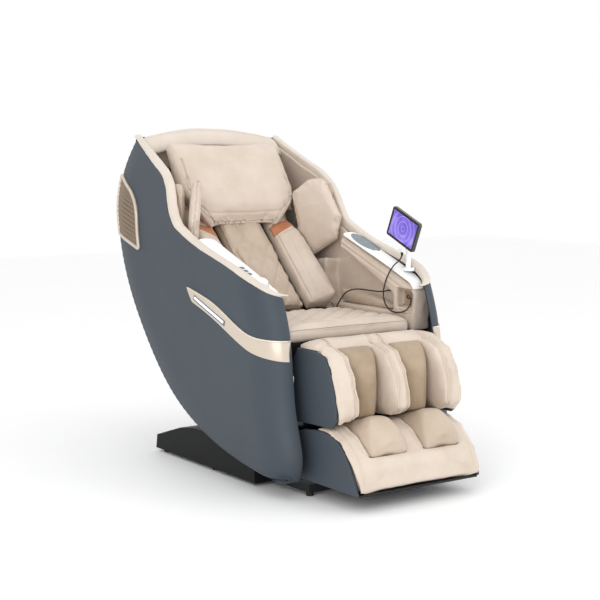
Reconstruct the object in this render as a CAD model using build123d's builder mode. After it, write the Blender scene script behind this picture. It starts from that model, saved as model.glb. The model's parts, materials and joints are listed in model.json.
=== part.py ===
from build123d import *
import os
from math import atan2, cos, degrees, hypot, pi, radians, sin, tan

# Massage chair. +Z is up, -Y is the front, +X is the sitter's left.
# The origin is on the floor, under the middle of the chair's box. Millimetres.

os.makedirs("parts", exist_ok=True)

# Driving dimensions
HALF_WIDTH = 375.0
SHELL_WALL = 16.0
SHELL_RIM = 287.0
TRIM_INNER = 353.0
HOOD_HALF = 351.0
STRIP_BED = 370.0
GRILLE_BED = 365.0
LED_BED = 372.0
PAST_SIDE = HALF_WIDTH + 5.0
GAP = 1.0
SEAT_TOP = 528.0
SEAT_HALF = 262.0
ARM_INNER = 268.0
ARM_OUTER = HALF_WIDTH - SHELL_WALL - 2.0
LEG_HALF = 250.0
LEG_PANEL = 12.0
WELL_INNER = 46.0
WELL_OUTER = 170.0
TUBE = 28.0
RAIL_INNER = 238.0
RAIL_OUTER = 262.0
RAIL_LOW = 440.0
RAIL_HIGH = 468.0
FLOOR_FEET = 12.0
PIN_R = 5.0
RUNNING = 0.1
CORD_R = 2.5

RECLINE_PIVOT = (100.0, 320.0)
LEG_PIVOT = (-322.0, 455.0)
BACK_FOOT = (113.0, 540.0)
RECLINE_A = (-120.0, 70.0)
RECLINE_B = (-190.0, 425.0)
LEG_A = (0.0, 360.0)
LEG_B = (-262.0, 385.0)
RECLINE_X = 60.0
LEG_X = -60.0
TRACK_START, TRACK_END = 10.0, 505.0
CARRIAGE_S = 230.0
CARRIAGE_HALF = 80.0
ROLLER_R = 27.0

# Plane of the backrest: x runs up the back, y out towards the sitter, z is +X
BACK = Plane(origin=(0, *BACK_FOOT), x_dir=(0, 1, 1), z_dir=(1, 0, 0))
SIDES = {"left": 1, "right": -1}


def save(part, name):
    """Label a finished piece and write it."""
    part.label = name
    export_step(part, f"parts/{name}.step")


def slab(points, inner, outer, side=1, corner=0.0):
    """Outline in Y and Z, carried from |X| = inner to |X| = outer on one side."""
    with BuildPart() as piece:
        with BuildSketch(Plane.YZ.offset(side * inner)) as profile:
            with BuildLine():
                Polyline(*points, close=True)
            make_face()
            if corner:
                fillet(profile.vertices(), corner)
        extrude(amount=side * (outer - inner))
    return piece.part


def box(x, y, z):
    """Block between two X, two Y and two Z values."""
    with BuildPart() as piece:
        with BuildSketch(Plane.XY.offset(z[0])):
            with Locations(((x[0] + x[1]) / 2, (y[0] + y[1]) / 2)):
                Rectangle(abs(x[1] - x[0]), abs(y[1] - y[0]))
        extrude(amount=z[1] - z[0])
    return piece.part


def rod_x(y, z, x0, x1, radius, hole=0.0):
    """Round bar along X, or a tube when it has a hole."""
    with BuildPart() as piece:
        with BuildSketch(Plane.YZ.offset(min(x0, x1))):
            with Locations((y, z)):
                Circle(radius)
                if hole:
                    Circle(hole, mode=Mode.SUBTRACT)
        extrude(amount=abs(x1 - x0))
    return piece.part


def back_slab(points, x0, x1):
    """Outline in the backrest's plane, carried from X = x0 to X = x1."""
    with BuildPart() as piece:
        with BuildSketch(BACK.offset(x0)):
            with BuildLine():
                Polyline(*points, close=True)
            make_face()
        extrude(amount=x1 - x0)
    return piece.part


def back_block(s, d, x):
    """Block between two distances up the back, two depths behind it and two X."""
    points = [(s[0], -d[0]), (s[1], -d[0]), (s[1], -d[1]), (s[0], -d[1])]
    return back_slab(points, x[0], x[1])


def back_rod(s, d, x0, x1, radius, hole=0.0):
    """Bar along X at a place up the back and behind it."""
    spot = BACK.from_local_coords(Vector(s, -d, 0))
    return rod_x(spot.Y, spot.Z, x0, x1, radius, hole)


def join(*pieces):
    """One solid from several that touch."""
    with BuildPart() as whole:
        for piece in pieces:
            add(piece)
    return whole.part


def group(*pieces):
    """Separate solids kept in one node."""
    return Compound(children=[solid for piece in pieces for solid in piece.solids()])


def cut(piece, *tools):
    """A piece with others taken out of it."""
    with BuildPart() as result:
        add(piece)
        for tool in tools:
            add(tool, mode=Mode.SUBTRACT)
    return result.part


# ------------------------------------------------------------------ side shells

# Side view as Y and Z, clockwise from the top of the hood; smooth between corners
OUTLINE = [(538, 1146), (618, 1052), (669, 914), (631, 676), (475, 433), (274, 243), (70, 143),
           (-134, 89), (-385, 55), (-416, 104), (-397, 224), (-364, 427), (-346, 536),
           (-310, 638), (-218, 682), (-68, 732), (125, 787), (240, 835), (276, 892), (298, 970),
           (330, 1014), (399, 1053)]
CORNERS = [0, 8, 13, 17, 20, 22]
ARM_CURVE = OUTLINE[13:18]
NECK_CURVE = OUTLINE[17:21]


def shell_outline(inset):
    """The shell's side view, drawn in by a distance."""
    moved = []
    for index, (y, z) in enumerate(OUTLINE):
        before, after = OUTLINE[index - 1], OUTLINE[(index + 1) % len(OUTLINE)]
        run, rise = after[0] - before[0], after[1] - before[1]
        moved.append((y + inset * rise / hypot(run, rise), z - inset * run / hypot(run, rise)))
    moved.append(moved[0])
    with BuildSketch(mode=Mode.PRIVATE) as outline:
        with BuildLine():
            for first, last in zip(CORNERS, CORNERS[1:]):
                Spline(*moved[first:last + 1])
        make_face()
    return outline.sketch


STRIP = [(150, 636), (-20, 598), (-189, 524), (-255, 507), (-300, 498),
         (-290, 438), (-238, 460), (-172, 484), (-61, 529), (112, 587)]
LED = [(94, 610), (-102, 541), (-99, 533), (96, 602)]
GRILLE = [(632, 1004), (548, 950), (507, 905), (492, 814), (482, 742), (642, 790), (655, 900)]
ARM_ZONE = [(152, 815), (-158, 730), (-300, 660), (-286, 600), (-278, 532), (-264, 518), (152, 518)]
HEAD_ZONE = [(151, 740), (151, 830), (236, 870), (290, 1040), (420, 1110), (530, 1150),
             (560, 1112), (480, 1030), (370, 970), (330, 900), (280, 800)]
HOOD = [(645, 1042), (604, 1108), (572, 1160), (540, 1180), (512, 1166), (500, 1141),
        (548, 1122), (590, 1060), (610, 1042)]
SPEAKER_SPOT = (566, 868)

strips, leds, grilles, speakers, trims, linings = [], [], [], [], [], []
for name, side in SIDES.items():
    with BuildPart() as shell:
        with BuildSketch(Plane.YZ.offset(side * SHELL_RIM)):
            add(shell_outline(0))
        extrude(amount=side * (HALF_WIDTH - SHELL_RIM))
        with BuildSketch(Plane.YZ.offset(side * (SHELL_RIM - GAP))):
            add(shell_outline(SHELL_WALL))
        extrude(amount=side * (HALF_WIDTH - SHELL_WALL - SHELL_RIM + GAP), mode=Mode.SUBTRACT)
        add(slab(ARM_ZONE, SHELL_RIM - GAP, ARM_OUTER, side), mode=Mode.SUBTRACT)
        add(slab(HOOD, SHELL_RIM - GAP, HOOD_HALF + GAP, side), mode=Mode.SUBTRACT)
        add(slab(HEAD_ZONE, SHELL_RIM - GAP, HOOD_HALF + GAP, side), mode=Mode.SUBTRACT)
        add(slab(STRIP, STRIP_BED, PAST_SIDE, side), mode=Mode.SUBTRACT)
        add(slab(GRILLE, GRILLE_BED, PAST_SIDE, side), mode=Mode.SUBTRACT)
        add(rod_x(*SPEAKER_SPOT, side * 350, side * PAST_SIDE, 38), mode=Mode.SUBTRACT)
    save(shell.part, f"shell_{name}")

    strip = cut(slab(STRIP, STRIP_BED, HALF_WIDTH, side), slab(LED, LED_BED, PAST_SIDE, side))
    strips.append(strip)
    leds.append(slab(LED, LED_BED, HALF_WIDTH, side))

    with BuildPart() as grille:
        add(slab(GRILLE, GRILLE_BED, HALF_WIDTH, side))
        with BuildSketch(Plane.YZ.offset(side * (GRILLE_BED - GAP))):
            with Locations(*[(566, 812 + 34 * row) for row in range(5)]):
                SlotOverall(108, 14, rotation=16)
        extrude(amount=side * 20, mode=Mode.SUBTRACT)
    grilles.append(grille.part)
    driver = join(rod_x(*SPEAKER_SPOT, side * 347, side * 359, 46),
                  rod_x(*SPEAKER_SPOT, side * 359, side * 364, 36))
    speakers.append(driver)

    # Cream trim that runs on top of the shell's upper edge, from the arm to the hood
    with BuildPart() as trim:
        with BuildSketch(Plane.YZ.offset(side * TRIM_INNER)):
            with BuildLine():
                Spline(*ARM_CURVE)
                Spline(*NECK_CURVE)
                Line((330, 1014), (318, 1034))
                Spline((318, 1034), (272, 984), (252, 900), (214, 850))
                Spline((214, 850), (118, 810), (-72, 752), (-232, 696), (-308, 652))
                Line((-308, 652), (-310, 638))
            make_face()
        extrude(amount=side * (HALF_WIDTH - TRIM_INNER))
    trims.append(trim.part)

    # Upholstered lining of the shell beside the sitter's head
    with BuildPart() as lining:
        with BuildSketch(Plane.YZ.offset(side * 330)):
            add(shell_outline(SHELL_WALL + 2))
            with BuildLine():
                Polyline((245, 800), (640, 800), (640, 1030), (585, 1055), (540, 1115),
                         (480, 1130), (245, 1130), close=True)
            make_face(mode=Mode.INTERSECT)
        extrude(amount=side * 14)
    linings.append(lining.part)

# ------------------------------------------------------------------ hood and back cover

with BuildPart() as hood:
    add(slab(HOOD, -HOOD_HALF, HOOD_HALF))
    with BuildSketch(Plane.XZ.offset(-480)):
        with BuildLine():
            ThreePointArc((-HOOD_HALF, 1150), (0, 1180), (HOOD_HALF, 1150))
            Polyline((HOOD_HALF, 1150), (HOOD_HALF, 1020), (-HOOD_HALF, 1020), (-HOOD_HALF, 1150))
        make_face()
    extrude(amount=-200, mode=Mode.INTERSECT)
save(hood.part, "hood")

# Cream capping that carries the hood's crest over each shell's top
for side in SIDES.values():
    with BuildPart() as capping:
        with BuildSketch(Plane.YZ.offset(side * TRIM_INNER)):
            with BuildLine():
                Polyline((331, 1015), (319, 1035), (392, 1078), (522, 1164), (556, 1160),
                         (612, 1096), (604, 1080), (560, 1126))
                Polyline((560, 1126), (538, 1140), (399, 1045), (331, 1015))
            make_face()
            add(shell_outline(0), mode=Mode.SUBTRACT)
        extrude(amount=side * (HALF_WIDTH - TRIM_INNER))
    trims.append(capping.part)
save(group(*strips), "accent_strips")
save(group(*leds), "led_bars")
save(group(*grilles), "speaker_grilles")
save(group(*speakers), "speakers")
save(group(*trims), "side_trims")

REAR_ZONE = [(720, 1036), (560, 1036), (400, 700), (300, 380), (300, 200), (720, 200)]
with BuildPart() as back_cover:
    with BuildSketch(Plane.YZ.offset(-SHELL_RIM + 2)):
        add(shell_outline(4))
        add(shell_outline(SHELL_WALL), mode=Mode.SUBTRACT)
        with BuildLine():
            Polyline(*REAR_ZONE, close=True)
        make_face(mode=Mode.INTERSECT)
    extrude(amount=2 * (SHELL_RIM - 2))
save(back_cover.part, "back_cover")

# ------------------------------------------------------------------ base

COVER_TOP = [(-185, FLOOR_FEET), (-185, 52), (-130, 68), (-28, 92), (70, 120), (150, 130),
             (214, 130), (300, 116), (470, 62), (478, FLOOR_FEET)]
COVER_INSIDE = [(-180, 11), (-180, 48), (-130, 63), (-28, 87), (70, 115), (150, 125),
                (214, 125), (300, 111), (466, 58), (473, 11)]
with BuildPart() as base_cover:
    add(slab(COVER_TOP, -320, 320))
    add(slab(COVER_INSIDE, -315, 315), mode=Mode.SUBTRACT)
    add(box((-112, 112), (-178, 62), (30, 140)), mode=Mode.SUBTRACT)
    for side in SIDES.values():
        add(box((side * 212, side * 248), (-190, -170), (11, 43)), mode=Mode.SUBTRACT)
        add(box((side * 219, side * 235), (40, 162), (90, 140)), mode=Mode.SUBTRACT)
    add(box((-236, -164), (460, 490), (14, 50)), mode=Mode.SUBTRACT)
save(base_cover.part, "base_cover")

BASE_BAR = (FLOOR_FEET, FLOOR_FEET + TUBE)
BAR_REAR, BAR_FRONT = 452.0, -386.0
base_pieces = [box((-244, 244), (BAR_FRONT, BAR_FRONT + TUBE), BASE_BAR),
               box((-308, 308), (BAR_REAR - TUBE, BAR_REAR), BASE_BAR),
               box((-244, 244), (-134, -106), BASE_BAR),
               box((-308, 308), (86, 114), BASE_BAR)]
for side in SIDES.values():
    base_pieces.append(box((side * 216, side * 244), (BAR_FRONT, BAR_REAR), BASE_BAR))
    post = slab([(46, 38), (156, 38), (124, 335), (100, 346), (76, 335)], 222, 232, side)
    base_pieces.append(post)
    base_pieces.append(rod_x(*RECLINE_PIVOT, side * 231, side * 251, 8))
for offset_x in (-19, 13):
    ears = slab([(-138, 38), (-102, 38), (-106, 84), (-134, 84)],
                RECLINE_X + offset_x, RECLINE_X + offset_x + 6)
    base_pieces.append(ears)
base_pieces.append(rod_x(*RECLINE_A, RECLINE_X - 19, RECLINE_X + 19, PIN_R))
save(join(*base_pieces), "base_frame")


with BuildPart() as feet:
    with BuildSketch(Plane.XY):
        with Locations((-230, -372), (230, -372), (-294, 438), (294, 438), (-294, 100), (294, 100)):
            Circle(13)
    extrude(amount=FLOOR_FEET)
save(feet.part, "levelling_feet")

# Mains inlet and its rocker switch, in the rear of the base
with BuildPart() as inlet:
    add(box((-235, -165), (452.5, 481), (15, 49)))
    with BuildSketch(Plane.XZ.offset(-482)) as holes:
        with Locations((-215, 32)):
            Rectangle(28, 22)
        with Locations((-181, 32)):
            Rectangle(16, 22)
    extrude(amount=22, mode=Mode.SUBTRACT)
    add(rod_x(471, 32, -190, -172, 1.5))
    with BuildSketch(Plane.XZ.offset(-459)):
        with Locations((-222, 32), (-208, 32), (-215, 37)):
            Rectangle(2, 6)
    extrude(amount=-16)
save(inlet.part, "mains_inlet")

with BuildPart() as rocker:
    with BuildSketch(Plane.YZ.offset(-188)):
        with BuildLine():
            Polyline((468, 23), (481, 24), (478, 32), (484, 40), (468, 41), close=True)
        make_face()
        with Locations((471, 32)):
            Circle(1.5 + RUNNING, mode=Mode.SUBTRACT)
    extrude(amount=14)
save(rocker.part, "power_switch")


def actuator(name, start, end, x, tail, bore, tube, fork_base, motor_side):
    """Linear actuator: motor and tube on its tail pin, and the rod that slides in it."""
    length = ((end[0] - start[0]) ** 2 + (end[1] - start[1]) ** 2) ** 0.5
    axis = Plane(origin=(x, *start), x_dir=(1, 0, 0),
                 z_dir=(0, end[0] - start[0], end[1] - start[1]))
    with BuildPart() as body:
        with BuildSketch(axis.offset(tail)):
            Circle(18)
        extrude(amount=tube - tail)
        with BuildSketch(axis.offset(bore)):
            Circle(9.2)
        extrude(amount=tube - bore + 1, mode=Mode.SUBTRACT)
        with BuildSketch(axis.offset(tail)):
            with Locations((0, motor_side * 23)):
                RectangleRounded(38, 84, 8)
        extrude(amount=24)
        with BuildSketch(axis.offset(tail + 24)):
            with Locations((0, motor_side * 44)):
                Circle(20)
        extrude(amount=78)
        add(rod_x(*start, x - 12, x + 12, 14))
        with BuildSketch(axis):
            Rectangle(24, 22)
        extrude(amount=tail + 2)
        add(rod_x(*start, x - 13, x + 13, PIN_R + RUNNING), mode=Mode.SUBTRACT)
    save(body.part, f"{name}_actuator")
    with BuildPart() as rod:
        with BuildSketch(axis.offset(bore + 12)):
            Circle(9)
        extrude(amount=fork_base - bore - 12)
        with BuildSketch(axis.offset(fork_base)):
            Rectangle(30, 24)
        extrude(amount=14)
        with BuildSketch(axis.offset(fork_base + 14)):
            with Locations((-12, 0), (12, 0)):
                Rectangle(6, 24)
        extrude(amount=length + 10 - fork_base - 14)
    save(rod.part, f"{name}_rod")


actuator("recline", RECLINE_A, RECLINE_B, RECLINE_X, 24, 50, 235, 300, -1)
actuator("leg", LEG_A, LEG_B, LEG_X, 18, 40, 196, 202, 1)

# ------------------------------------------------------------------ reclining frame

frame_pieces = []
low, high = RAIL_LOW, RAIL_HIGH
post_low = BACK.from_local_coords(Vector(0, -90, 0))
post_top = BACK.from_local_coords(Vector(530, -90, 0))
post_front = BACK.from_local_coords(Vector(530, -60, 0))
post_foot = BACK.from_local_coords(Vector(0, -60, 0))
upright = [(-288, low), (124, low), (post_low.Y, post_low.Z), (post_top.Y, post_top.Z),
           (post_front.Y, post_front.Z), (post_foot.Y, post_foot.Z), (118, high), (-288, high)]
lug = [(52, low + 4), (148, low + 4), (122, 312), (100, 298), (78, 312)]
for side in SIDES.values():
    frame_pieces.append(slab(upright, RAIL_INNER, RAIL_OUTER, side))
    ear = slab(lug, RAIL_INNER, RAIL_INNER + 10, side)
    frame_pieces.append(cut(ear, rod_x(*RECLINE_PIVOT, side * 236, side * 252, 8 + RUNNING)))
    hinge = slab([(-264, low + 3), (-264, high), (-322, high - 1), (-335, 455), (-322, low + 3)],
                 190, 200, side)
    frame_pieces.append(hinge)
    frame_pieces.append(rod_x(*LEG_PIVOT, side * 199, side * 216, PIN_R))
for y in (-288, -205, -12, 116):
    frame_pieces.append(box((-RAIL_INNER, RAIL_INNER), (y, y + 24), (low, high)))
frame_pieces.append(back_block((505, 530), (62, 88), (-RAIL_INNER, RAIL_INNER)))
frame_pieces.append(back_block((-20, 10), (85, 115), (-RAIL_INNER, RAIL_INNER)))
frame_pieces.append(back_block((-20, 10), (60, 90), (-RAIL_OUTER, -RAIL_INNER)))
frame_pieces.append(slab([(-205, low + 2), (-181, low + 2), (-181, 418), (-190, 412), (-199, 418)],
                         RECLINE_X - 3, RECLINE_X + 3))
frame_pieces.append(rod_x(*RECLINE_B, RECLINE_X - 7, RECLINE_X + 7, 8))
for offset_x in (-20, 14):
    frame_pieces.append(slab([(-12, low + 2), (12, low + 2), (10, 348), (-10, 348)],
                             LEG_X + offset_x, LEG_X + offset_x + 6))
frame_pieces.append(rod_x(*LEG_A, LEG_X - 20, LEG_X + 20, PIN_R))
for side in SIDES.values():
    for y in (-180, 60):
        frame_pieces.append(box((side * RAIL_OUTER, side * (HALF_WIDTH - SHELL_WALL)), (y, y + 30),
                                (444, 460)))
save(join(*frame_pieces), "recline_frame")

save(box((-SEAT_HALF, SEAT_HALF), (-288, 112), (RAIL_HIGH, 478)), "seat_pan")
save(box((98, 216), (-180, 20), (352, 438)), "control_box")
save(group(box((-216, -98), (-180, 20), (352, 438)), box((-216, -98), (30, 96), (380, 438))),
     "air_pump_and_valves")

# ------------------------------------------------------------------ massage mechanism

tracks = []
for side in SIDES.values():
    channel = back_block((TRACK_START, TRACK_END), (85, 115), sorted((side * 140, side * 160)))
    hollow = back_block((TRACK_START - 1, TRACK_END + 1), (88, 112), sorted((side * 138, side * 157)))
    tracks.append(cut(channel, hollow))
save(group(*tracks), "roller_tracks")

s_low, s_high = CARRIAGE_S - CARRIAGE_HALF, CARRIAGE_S + CARRIAGE_HALF
carriage = cut(back_block((s_low, s_high), (94, 142), (-134, 134)),
               back_block((s_low + 10, s_high - 10), (92, 138), (-92, 92)),
               back_rod(CARRIAGE_S, 116, -100, 100, 6 + RUNNING),
               *[back_rod(CARRIAGE_S + step, 103, -140, 140, 4 + RUNNING) for step in (-62, 62)])
save(carriage, "massage_carriage")
for name, step in (("lower", -62), ("upper", 62)):
    wheels = []
    for side in SIDES.values():
        wheel = join(back_rod(CARRIAGE_S + step, 103, side * 142, side * 154, 8),
                     back_rod(CARRIAGE_S + step, 103, side * 112, side * 142, 4))
        wheels.append(wheel)
    save(group(*wheels), f"guide_wheels_{name}")

arm_pieces = [back_rod(CARRIAGE_S, 116, -97, 97, 6)]
for x in (-50, 40):
    arm_outline = [(CARRIAGE_S - 44, -97), (CARRIAGE_S, -104), (CARRIAGE_S + 44, -97),
                   (CARRIAGE_S + 44, -85), (CARRIAGE_S, -90), (CARRIAGE_S - 44, -85)]
    arm_pieces.append(back_slab(arm_outline, x, x + 10))
    arm_pieces.append(back_block((CARRIAGE_S - 12, CARRIAGE_S + 12), (98, 122), (x, x + 10)))
for step in (-36, 36):
    arm_pieces.append(back_rod(CARRIAGE_S + step, 91, -80, 80, 4))
save(join(*arm_pieces), "roller_arms")
for name, step in (("lower", -36), ("upper", 36)):
    rollers = [back_rod(CARRIAGE_S + step, 91, side * 54, side * 80, ROLLER_R, 4 + RUNNING)
               for side in SIDES.values()]
    save(group(*rollers), f"massage_rollers_{name}")
save(back_block((s_low + 14, s_high - 14), (143, 178), (-60, 60)), "massage_motor")

# ------------------------------------------------------------------ soft seat and back

save(slab([(-292, 480), (106, 480), (108, SEAT_TOP), (-280, SEAT_TOP), (-292, 516)],
          -SEAT_HALF, SEAT_HALF), "seat_cushion")
save(slab([BACK_FOOT, (418, 845), (524, 1024), (563, 1001), (452, 812), (146, 507)],
          -136, 136), "back_cushion")
save(slab([(380, 841), (384, 905), (440, 1010), (505, 1108), (527, 1116), (548, 1090),
           (424, 870), (398, 846)], -205, 205), "headrest_pillow")
linings.append(slab([(496, 856), (588, 1013), (598, 1008), (506, 850)], -325, 325))
save(group(*linings), "head_recess_lining")

SHOULDER = [(372, 932), (286, 985), (175, 853), (192, 780), (282, 709), (353, 844)]
BOLSTER = [(140, 0), (222, -58), (222, 50), (140, 50)]
TAN = [(141, -2), (222, -60), (222, -64), (141, -6)]
across = Plane(origin=BACK.origin, x_dir=(1, 0, 0), z_dir=BACK.x_dir)
shoulders, bolsters, inserts = [], [], []
for side in SIDES.values():
    shoulders.append(slab(SHOULDER, 228, 318, side, corner=14))
    with BuildPart() as bolster:
        with BuildSketch(across.offset(12)):
            with BuildLine():
                Polyline(*[(side * x, d) for x, d in BOLSTER], close=True)
            make_face()
        extrude(amount=370)
    bolsters.append(bolster.part)
    with BuildPart() as insert:
        with BuildSketch(across.offset(330)):
            with BuildLine():
                Polyline(*[(side * x, d) for x, d in TAN], close=True)
            make_face()
        extrude(amount=48)
    inserts.append(insert.part)
save(group(*shoulders), "shoulder_pads")
save(group(*bolsters), "back_bolsters")
save(group(*inserts), "tan_inserts")

# ------------------------------------------------------------------ arms

ARM_BODY = [(150, 786), (133, 786), (-158, 678), (-268, 634), (-283, 612), (-276, 534),
            (-262, 520), (150, 520)]
CHANNEL = [(152, 742), (103, 730), (-166, 600), (-166, 541), (152, 541)]
CHANNEL_WALL = 328.0
ARM_PAD = [(-162, 543), (-162, 556), (12, 588), (145, 598), (145, 543)]
POCKET = [(-266, 556), (-266, 610), (-186, 628), (-186, 556)]
PANEL_INNER, PANEL_OUTER = 274.0, 350.0
PANEL_REAR = [(140, 798), (-158, 688), (-158, 680), (140, 790)]
PANEL_FRONT = [(-158, 688), (-272, 642), (-268, 636), (-158, 680)]
BUTTON_Y = (-92, -114, -136)
PANEL_TILT = degrees(atan2(110, 298))


def panel_z(y):
    """Height of the arm panel's upper face."""
    return 688 + (y + 158) * tan(radians(PANEL_TILT))


def panel_plane(x, y):
    """Plane on the arm panel's upper face, x across the chair."""
    tilt = radians(PANEL_TILT)
    return Plane(origin=(x, y, panel_z(y)), x_dir=(1, 0, 0), z_dir=(0, -sin(tilt), cos(tilt)))


forearm_pads = []
for name, side in SIDES.items():
    arm = cut(slab(ARM_BODY, ARM_INNER, ARM_OUTER - 1, side),
              slab(CHANNEL, ARM_INNER - 2, CHANNEL_WALL, side),
              slab(POCKET, ARM_INNER - 2, 312, side))
    save(arm, f"arm_body_{name}")
    forearm_pads.append(slab(ARM_PAD, 271, CHANNEL_WALL - 2, side))
save(group(*forearm_pads), "forearm_pads")

# Left arm panel carries the touch panel and the tablet's stand
left_panel = slab(PANEL_REAR, PANEL_INNER, PANEL_OUTER)
left_front = slab(PANEL_FRONT, PANEL_INNER, PANEL_OUTER)
touch_plane = panel_plane(315, 50)
with BuildPart() as touch:
    with BuildSketch(touch_plane.offset(-2)):
        Ellipse(34, 80)
    extrude(amount=3.5)
with BuildPart() as arm_panel_left:
    add(left_panel)
    add(left_front)
    add(touch.part, mode=Mode.SUBTRACT)
save(arm_panel_left.part, "arm_panel_left")
save(touch.part, "touch_panel")

# Right arm panel carries three push buttons and the dial
right_panel = slab(PANEL_REAR, PANEL_INNER, PANEL_OUTER, -1)
right_front = slab(PANEL_FRONT, PANEL_INNER, PANEL_OUTER, -1)
dial_plane = Plane(origin=(-312, -212, 666.3), x_dir=(1, 0, 0), z_dir=(0, -0.3742, 0.9274))
with BuildPart() as arm_panel_right:
    add(right_panel)
    add(right_front)
    for y in BUTTON_Y:
        with BuildSketch(panel_plane(-312, y).offset(-4)):
            RectangleRounded(30.8, 16.8, 5.4)
        extrude(amount=8, mode=Mode.SUBTRACT)
    with BuildSketch(dial_plane.offset(-3)):
        Circle(24.5)
    extrude(amount=9, mode=Mode.SUBTRACT)
    with BuildSketch(dial_plane.offset(-4)):
        Circle(7)
    extrude(amount=10)
save(arm_panel_right.part, "arm_panel_right")

for index, y in enumerate(BUTTON_Y):
    with BuildPart() as button:
        with BuildSketch(panel_plane(-312, y).offset(-1)):
            RectangleRounded(30, 16, 5)
        extrude(amount=4)
    save(button.part, f"arm_button_{index + 1}")
with BuildPart() as dial:
    with BuildSketch(dial_plane.offset(-2.5)):
        Circle(24)
    extrude(amount=13)
    with BuildSketch(dial_plane.offset(-2.5)):
        Circle(7 + RUNNING)
    extrude(amount=10, mode=Mode.SUBTRACT)
    chamfer(dial.faces().sort_by(Axis.Z)[-1].edges(), 1.5)
save(dial.part, "control_dial")

# ------------------------------------------------------------------ tablet on its stand

STAND = (322.0, -186.0)
TABLET_X = 300.0
ROLL = radians(23)
TABLET_CENTRE = (-188.0, 826.0)
with BuildPart() as stand:
    with BuildSketch(Plane.XY.offset(680)):
        with Locations(STAND):
            Ellipse(20, 26)
    extrude(amount=12)
    with BuildSketch(Plane.XY.offset(690)):
        with Locations(STAND):
            Circle(9)
    extrude(amount=82)
    add(box((295, 318), (-184, -165), (745, 757)))
    add(left_panel, mode=Mode.SUBTRACT)
    add(left_front, mode=Mode.SUBTRACT)
save(stand.part.solids().sort_by(SortBy.VOLUME)[-1], "tablet_stand")

tablet_plane = Plane(origin=(TABLET_X, *TABLET_CENTRE), x_dir=(0, -cos(ROLL), -sin(ROLL)),
                     z_dir=(-1, 0, 0))
with BuildPart() as tablet_bracket:
    with BuildSketch(Plane.XY.offset(772.3)):
        with Locations(STAND):
            Circle(10)
    extrude(amount=40)
    add(box((312, 330), (-192, -180), (805, 832)))
    add(rod_x(*TABLET_CENTRE, 311, 330, 5))
save(tablet_bracket.part, "tablet_bracket")

with BuildPart() as tablet:
    with BuildSketch(tablet_plane.offset(-6)):
        RectangleRounded(154, 108, 8)
    extrude(amount=12)
    with BuildSketch(tablet_plane.offset(4.5)):
        RectangleRounded(136, 90, 3)
    extrude(amount=2, mode=Mode.SUBTRACT)
    with BuildSketch(tablet_plane.offset(-9)):
        Circle(14)
    extrude(amount=3)
save(tablet.part, "tablet")
with BuildPart() as screen:
    with BuildSketch(tablet_plane.offset(4.5)):
        RectangleRounded(136, 90, 3)
    extrude(amount=1.2)
save(screen.part, "tablet_screen")

# ------------------------------------------------------------------ cords

TABLET_ROUTE = [(303, -174, 745), (303, -174, 731), (293, -172, 715), (270, -165, 698),
                (257, -146, 655), (255, -131, 612), (255, -133, 578), (255, -152, 551),
                (255, -187, 538), (255, -232, 541), (255, -268, 557), (256, -285, 584),
                (259, -271, 604), (270, -243, 602), (286, -226, 590), (300, -222, 586),
                (310, -222, 586)]
SEAT_ROUTE = [(326, -96, 604), (308, -96, 604), (289, -78, 598), (276, -34, 599), (266, 10, 602),
              (258, 52, 598), (252, 86, 584), (245, 108, 556), (236, 121, 525), (230, 128, 500),
              (230, 128, 476)]


def turn_at(route, index):
    """Angle by which the route turns at one of its points, in degrees."""
    before = Vector(*route[index]) - Vector(*route[index - 1])
    after = Vector(*route[index + 1]) - Vector(*route[index])
    return before.get_angle(after)


def corner_radius(route, index):
    """Largest bend at one of the route's points that leaves both runs some straight."""
    before = (Vector(*route[index]) - Vector(*route[index - 1])).length
    after = (Vector(*route[index + 1]) - Vector(*route[index])).length
    return 0.45 * min(before, after) / tan(radians(turn_at(route, index) / 2))


def cord(name, route):
    """Round cord along straight runs joined by tangent arcs."""
    radii = [corner_radius(route, index) for index in range(1, len(route) - 1)]
    with BuildPart() as tube:
        with BuildLine() as path:
            FilletPolyline(*route, radius=radii)
        first = path.edges().sort_by_distance(Vector(*route[0]))[0]
        with BuildSketch(Plane(origin=route[0], z_dir=first % 0)):
            Circle(CORD_R)
        sweep(path=path.wires()[0])
    save(tube.part, name)
    length = sum(edge.length for edge in path.edges())
    expected = length * pi * CORD_R ** 2
    print(name, "radii", [round(radius) for radius in radii],
          "turns", [round(turn_at(route, index)) for index in range(1, len(route) - 1)],
          "length", round(length), "volume/expected", round(tube.part.volume / expected, 4))


cord("tablet_cord", TABLET_ROUTE)
cord("seat_cord", SEAT_ROUTE)

sockets = [rod_x(-96, 604, 326, CHANNEL_WALL, 6), rod_x(-222, 586, 310, 312, 6)]
with BuildPart() as grommet:
    with BuildSketch(Plane.XY.offset(RAIL_HIGH)):
        with Locations((230, 128)):
            Circle(6)
    extrude(amount=8)
save(group(*sockets, grommet.part), "cord_sockets")

# ------------------------------------------------------------------ leg rest

leg_pieces = [box((-LEG_HALF + LEG_PANEL + 2, LEG_HALF - LEG_PANEL - 2), (-350, -343), (222, 440))]
leg_pieces.append(box((-236, 236), (-383, -350), (430, 440)))
for side in SIDES.values():
    hinge = slab([(-350, 380), (-343, 380), (-312, 448), (-310, 462), (-322, 468), (-350, 446)],
                 203, 213, side)
    leg_pieces.append(cut(hinge, rod_x(*LEG_PIVOT, side * 201, side * 215, PIN_R + RUNNING)))
    with BuildPart() as guide:
        with BuildSketch(Plane.XY.offset(240)):
            with Locations((side * 110, -366)):
                Circle(15)
        extrude(amount=192)
        add(box((side * 100, side * 120), (-352, -348), (240, 430)))
    leg_pieces.append(guide.part)
leg_pieces.append(slab([(-350, 436), (-346, 364), (-262, 371), (-252, 385), (-262, 398)],
                       LEG_X - 5, LEG_X + 5))
leg_pieces.append(rod_x(*LEG_B, LEG_X - 8, LEG_X + 8, 8))
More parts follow.
